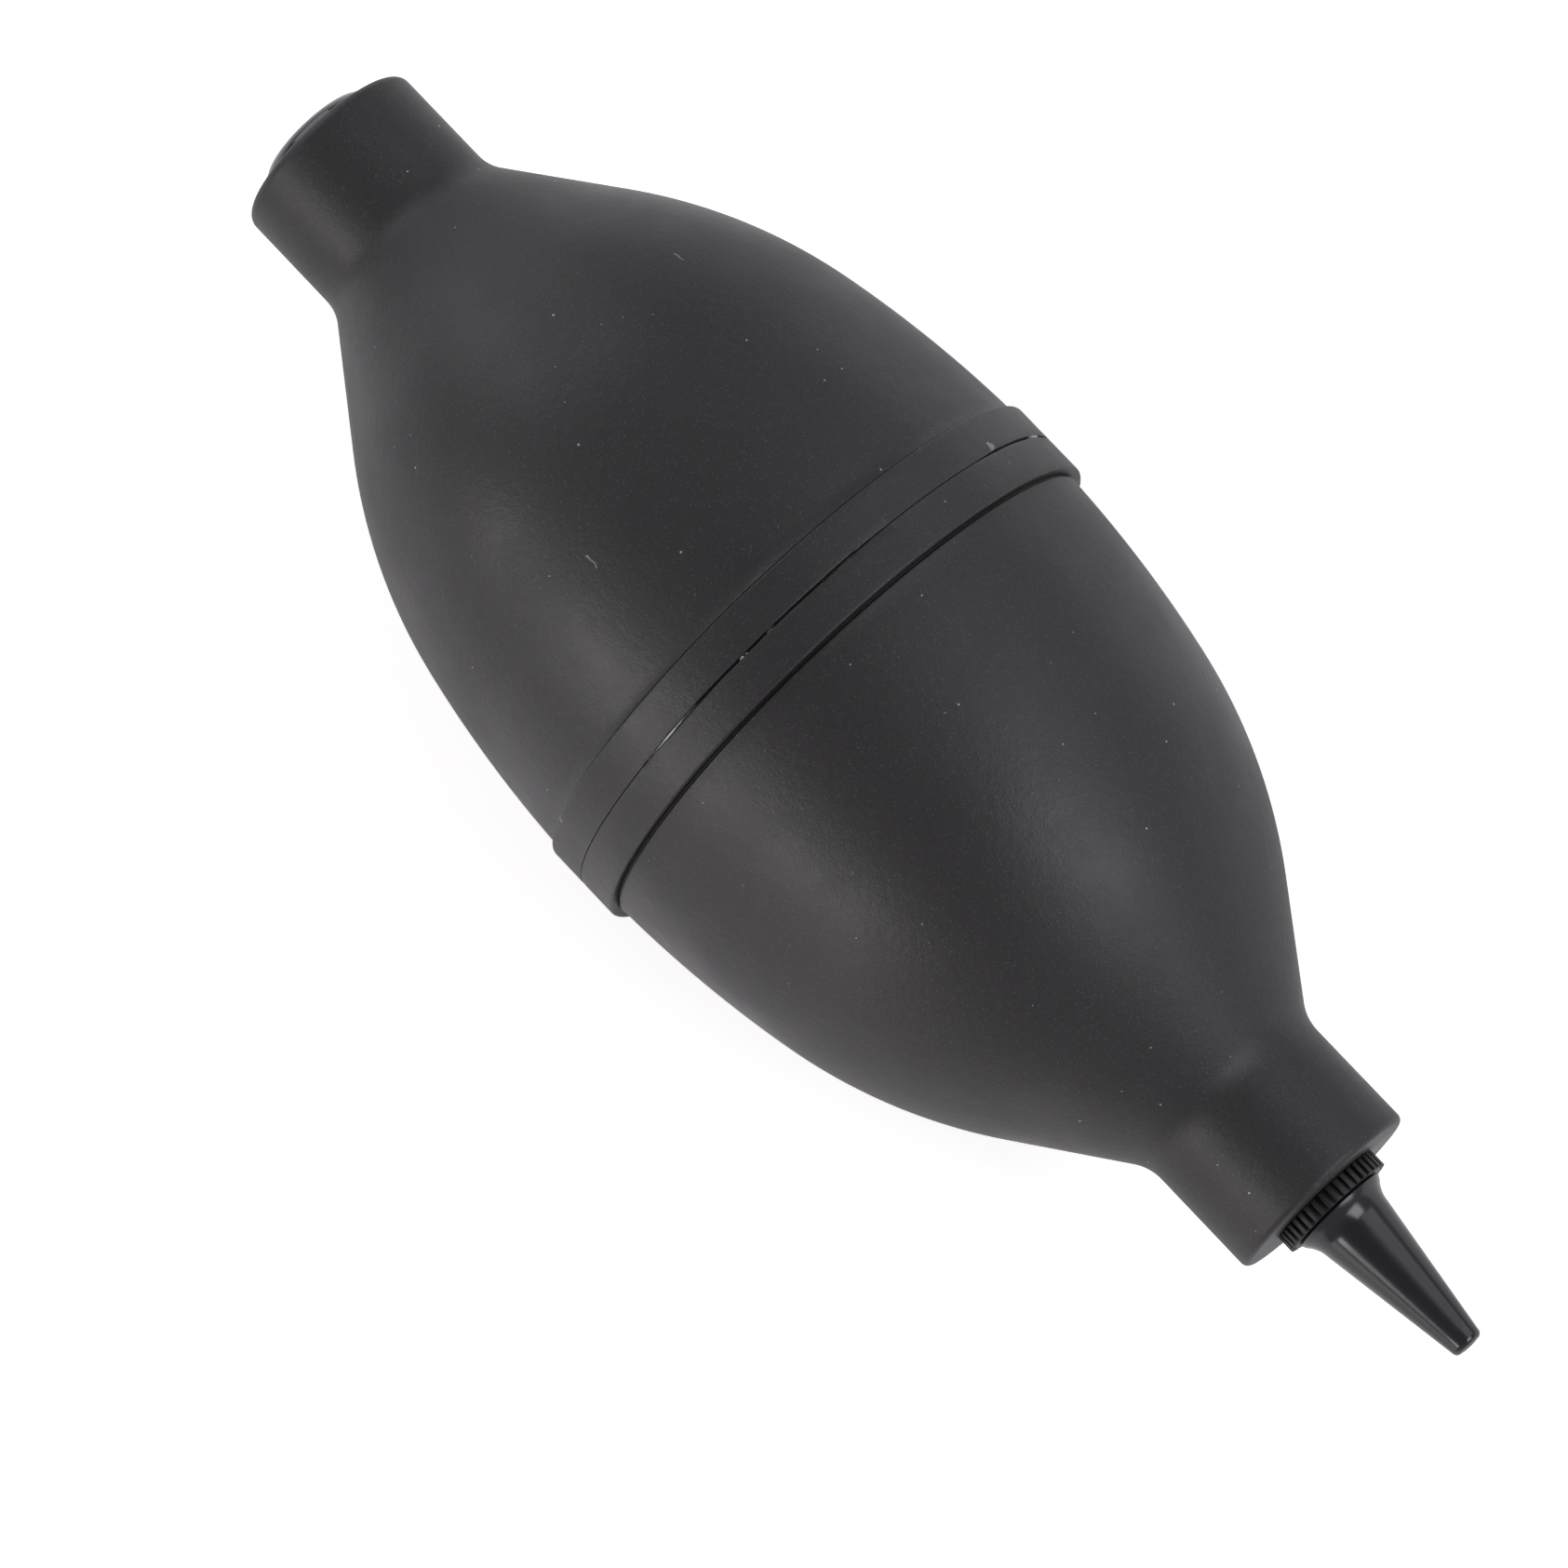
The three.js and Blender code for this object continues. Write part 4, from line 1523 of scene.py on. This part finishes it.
def stood_off(target: Vector, distance: float, right: Vector, upwards: Vector, towards: Vector) -> Matrix:
    """Places a light or camera so that it looks back at a target.

    Args:
        target: Point that it looks at.
        distance: Distance from the target.
        right: Its own X direction.
        upwards: Its own Y direction.
        towards: Direction from the target to it.

    Returns:
        The object's transform.
    """
    turned = Matrix((right, upwards, towards)).transposed().to_4x4()
    return Matrix.Translation(target + towards * distance) @ turned


@dataclass(frozen=True)
class SoftLight:
    """A rectangular studio light.

    Args:
        name: Name of the light.
        across: Angle from straight above towards +Y, in degrees.
        along: Angle from straight above towards +X, in degrees.
        distance: Distance from the blower.
        size: Length along X and width across.
        power: Power in watts.
        tint: Colour of the light.
    """

    name: str
    across: float
    along: float
    distance: float
    size: tuple[float, float]
    power: float
    tint: tuple[float, float, float] = (1.0, 1.0, 1.0)

    def build(self, target: Vector) -> None:
        """Hangs the light and points it at the target.

        Args:
            target: Point that it lights.
        """
        across, along = math.radians(self.across), math.radians(self.along)
        direction = Vector(
            (math.sin(along), math.sin(across) * math.cos(along), math.cos(across) * math.cos(along))
        )
        lamp = bpy.data.lights.new(self.name, "AREA")
        lamp.shape = "RECTANGLE"
        lamp.size, lamp.size_y = self.size
        lamp.energy = self.power
        lamp.color = self.tint
        made = bpy.data.objects.new(self.name, lamp)
        bpy.context.scene.collection.objects.link(made)
        sideways = (Vector((1, 0, 0)) - direction * direction.x).normalized()
        upwards = direction.cross(sideways)
        made.matrix_world = stood_off(target, self.distance, sideways, upwards, direction)
        made.visible_camera = False


@dataclass
class Studio:
    """Pale floor, light tent and camera.

    Args:
        layout: Places in the frame.
        tilt: Lean of the camera from straight above towards the nozzle, in degrees.
        roll: Turn of the camera about its own line of sight, in degrees.
        distance: Distance of the camera from its target.
        view_width: Width of the view at that distance.
        centre_along: Place of the target from the waist along X.
        centre_across: Place of the target from the axis along Y.
        floor_size: Side of the floor.
        floor_glow: Strength of the floor's glow as the camera sees it.
        floor_bounce: Strength of the glow that the floor throws on the blower.
        tent_strength: Brightness of the tent.
        sensor: Width of the camera's sensor, in millimetres.
    """

    layout: Layout
    tilt: float = 9.5
    roll: float = 46.45
    distance: float = 0.7
    view_width: float = 132.2 * MM
    centre_along: float = 5.5 * MM
    centre_across: float = -9.1 * MM
    floor_size: float = 6.0
    floor_glow: float = 0.5
    floor_bounce: float = 0.12
    tent_strength: float = 0.4
    sensor: float = 36.0

    def _floor(self) -> None:
        """Lays the floor: a matt white sheet that glows faintly, and more brightly for the camera."""
        Bench.clear()
        bpy.ops.mesh.primitive_plane_add(size=self.floor_size, location=(0, 0, 0))
        floor = bpy.context.object
        floor.name = floor.data.name = "studio_floor"
        material = bpy.data.materials.new("pale_floor")
        material.use_nodes = True
        wires = Wiring(material.node_tree)
        shader = material.node_tree.nodes["Principled BSDF"]
        place = wires.node("ShaderNodeTexCoord").outputs["Object"]
        mottle = wires.remap(wires.noise(place, 6.0, detail=2), 0.3, 0.7, 0.0, 1.0)
        paper = wires.blend(mottle, (0.9, 0.9, 0.9, 1), (0.92, 0.92, 0.92, 1))
        wires.put(paper, shader.inputs["Base Color"])
        shader.inputs["Roughness"].default_value = 0.9
        shader.inputs["Emission Color"].default_value = (1, 1, 1, 1)
        seen = wires.node("ShaderNodeLightPath").outputs["Is Camera Ray"]
        glow = wires.remap(seen, 0.0, 1.0, self.floor_bounce, self.floor_glow)
        wires.put(glow, shader.inputs["Emission Strength"])
        floor.data.materials.append(material)

    def _tent(self) -> None:
        """Surrounds the scene with a pale tent that is dim straight above, where the camera looks in."""
        world = bpy.data.worlds.new("light_tent")
        bpy.context.scene.world = world
        world.use_nodes = True
        wires = Wiring(world.node_tree)
        direction = wires.node("ShaderNodeTexCoord").outputs["Generated"]
        split = wires.node("ShaderNodeSeparateXYZ")
        wires.put(direction, split.inputs[0])
        wall_top, roof_middle = 0.4, 0.97
        share = wires.remap(split.outputs[2], wall_top, roof_middle, 0.0, 1.0)
        background = world.node_tree.nodes["Background"]
        walls, roof = (0.98, 0.95, 1.0, 1), (0.42, 0.4, 0.42, 1)
        wires.put(wires.blend(share, walls, roof), background.inputs["Color"])
        background.inputs["Strength"].default_value = self.tent_strength

    def _camera(self) -> None:
        """Sets the camera: nearly above, a little towards the nozzle, rolled to lay the bulb diagonally."""
        tilt, roll = math.radians(self.tilt), math.radians(self.roll)
        towards = Vector((math.sin(tilt), 0, math.cos(tilt)))
        along = Vector((math.cos(tilt), 0, -math.sin(tilt)))
        across = Vector((0, 1, 0))
        right = along * math.cos(roll) + across * math.sin(roll)
        upwards = across * math.cos(roll) - along * math.sin(roll)
        target = self.layout.on_axis(self.layout.waist + self.centre_along) + across * self.centre_across
        data = bpy.data.cameras.new("camera")
        data.sensor_width = self.sensor
        data.lens = self.sensor * self.distance / self.view_width
        data.clip_start, data.clip_end = 0.01, 20
        camera = bpy.data.objects.new("camera", data)
        bpy.context.scene.collection.objects.link(camera)
        camera.matrix_world = stood_off(target, self.distance, right, upwards, towards)
        bpy.context.scene.camera = camera

    def build(self) -> None:
        """Sets up floor, lights, tent and camera."""
        self._floor()
        self._tent()
        target = self.layout.on_axis(self.layout.waist)
        for light in (
            SoftLight("palm_strip", -60, -10, 0.75, (0.7, 0.2), 2.9, (1.0, 0.97, 0.98)),
            SoftLight("finger_softbox", 32, 40, 0.9, (0.6, 0.45), 3.8, (0.98, 0.96, 1.0)),
            SoftLight("side_panel", 50, 2, 0.9, (0.5, 0.75), 1.5, (0.95, 0.96, 1.0)),
            SoftLight("rear_panel", 14, -66, 0.8, (0.5, 0.7), 1.6, (0.97, 0.96, 1.0)),
            SoftLight("warm_card", -84, 14, 0.35, (0.12, 0.1), 0.06, (1.0, 0.88, 0.82)),
        ):
            light.build(target)
        bpy.context.scene.view_settings.view_transform = "Standard"
        self._camera()


def main() -> None:
    """Builds the studio and every sub-assembly in order."""
    logging.basicConfig(level=logging.INFO, format="%(name)s: %(message)s")
    layout = Layout.from_frame()
    Studio(layout).build()
    wardrobe = Wardrobe()
    rear = SiliconeHalf(Side.REAR, layout, step=0.5 * MM, groove=0.15 * MM, flex_reach=49 * MM,
                        neck_edge=0.9 * MM, lip_radius=6.35 * MM)
    front = SiliconeHalf(Side.FRONT, layout, step=0.8 * MM, groove=0.36 * MM, flex_reach=24 * MM,
                         neck_edge=0.6 * MM, lip_radius=4.9 * MM)
    pieces = [rear.build(wardrobe), front.build(wardrobe), WaistJoint(layout).build(wardrobe)]
    pieces += AirInlet(layout).build(wardrobe)
    pieces += NozzleEnd(layout).build(wardrobe)
    for piece in pieces:
        LOG.info("%s: %d faces", piece.name, len(piece.data.polygons))


if __name__ == "__main__":
    main()
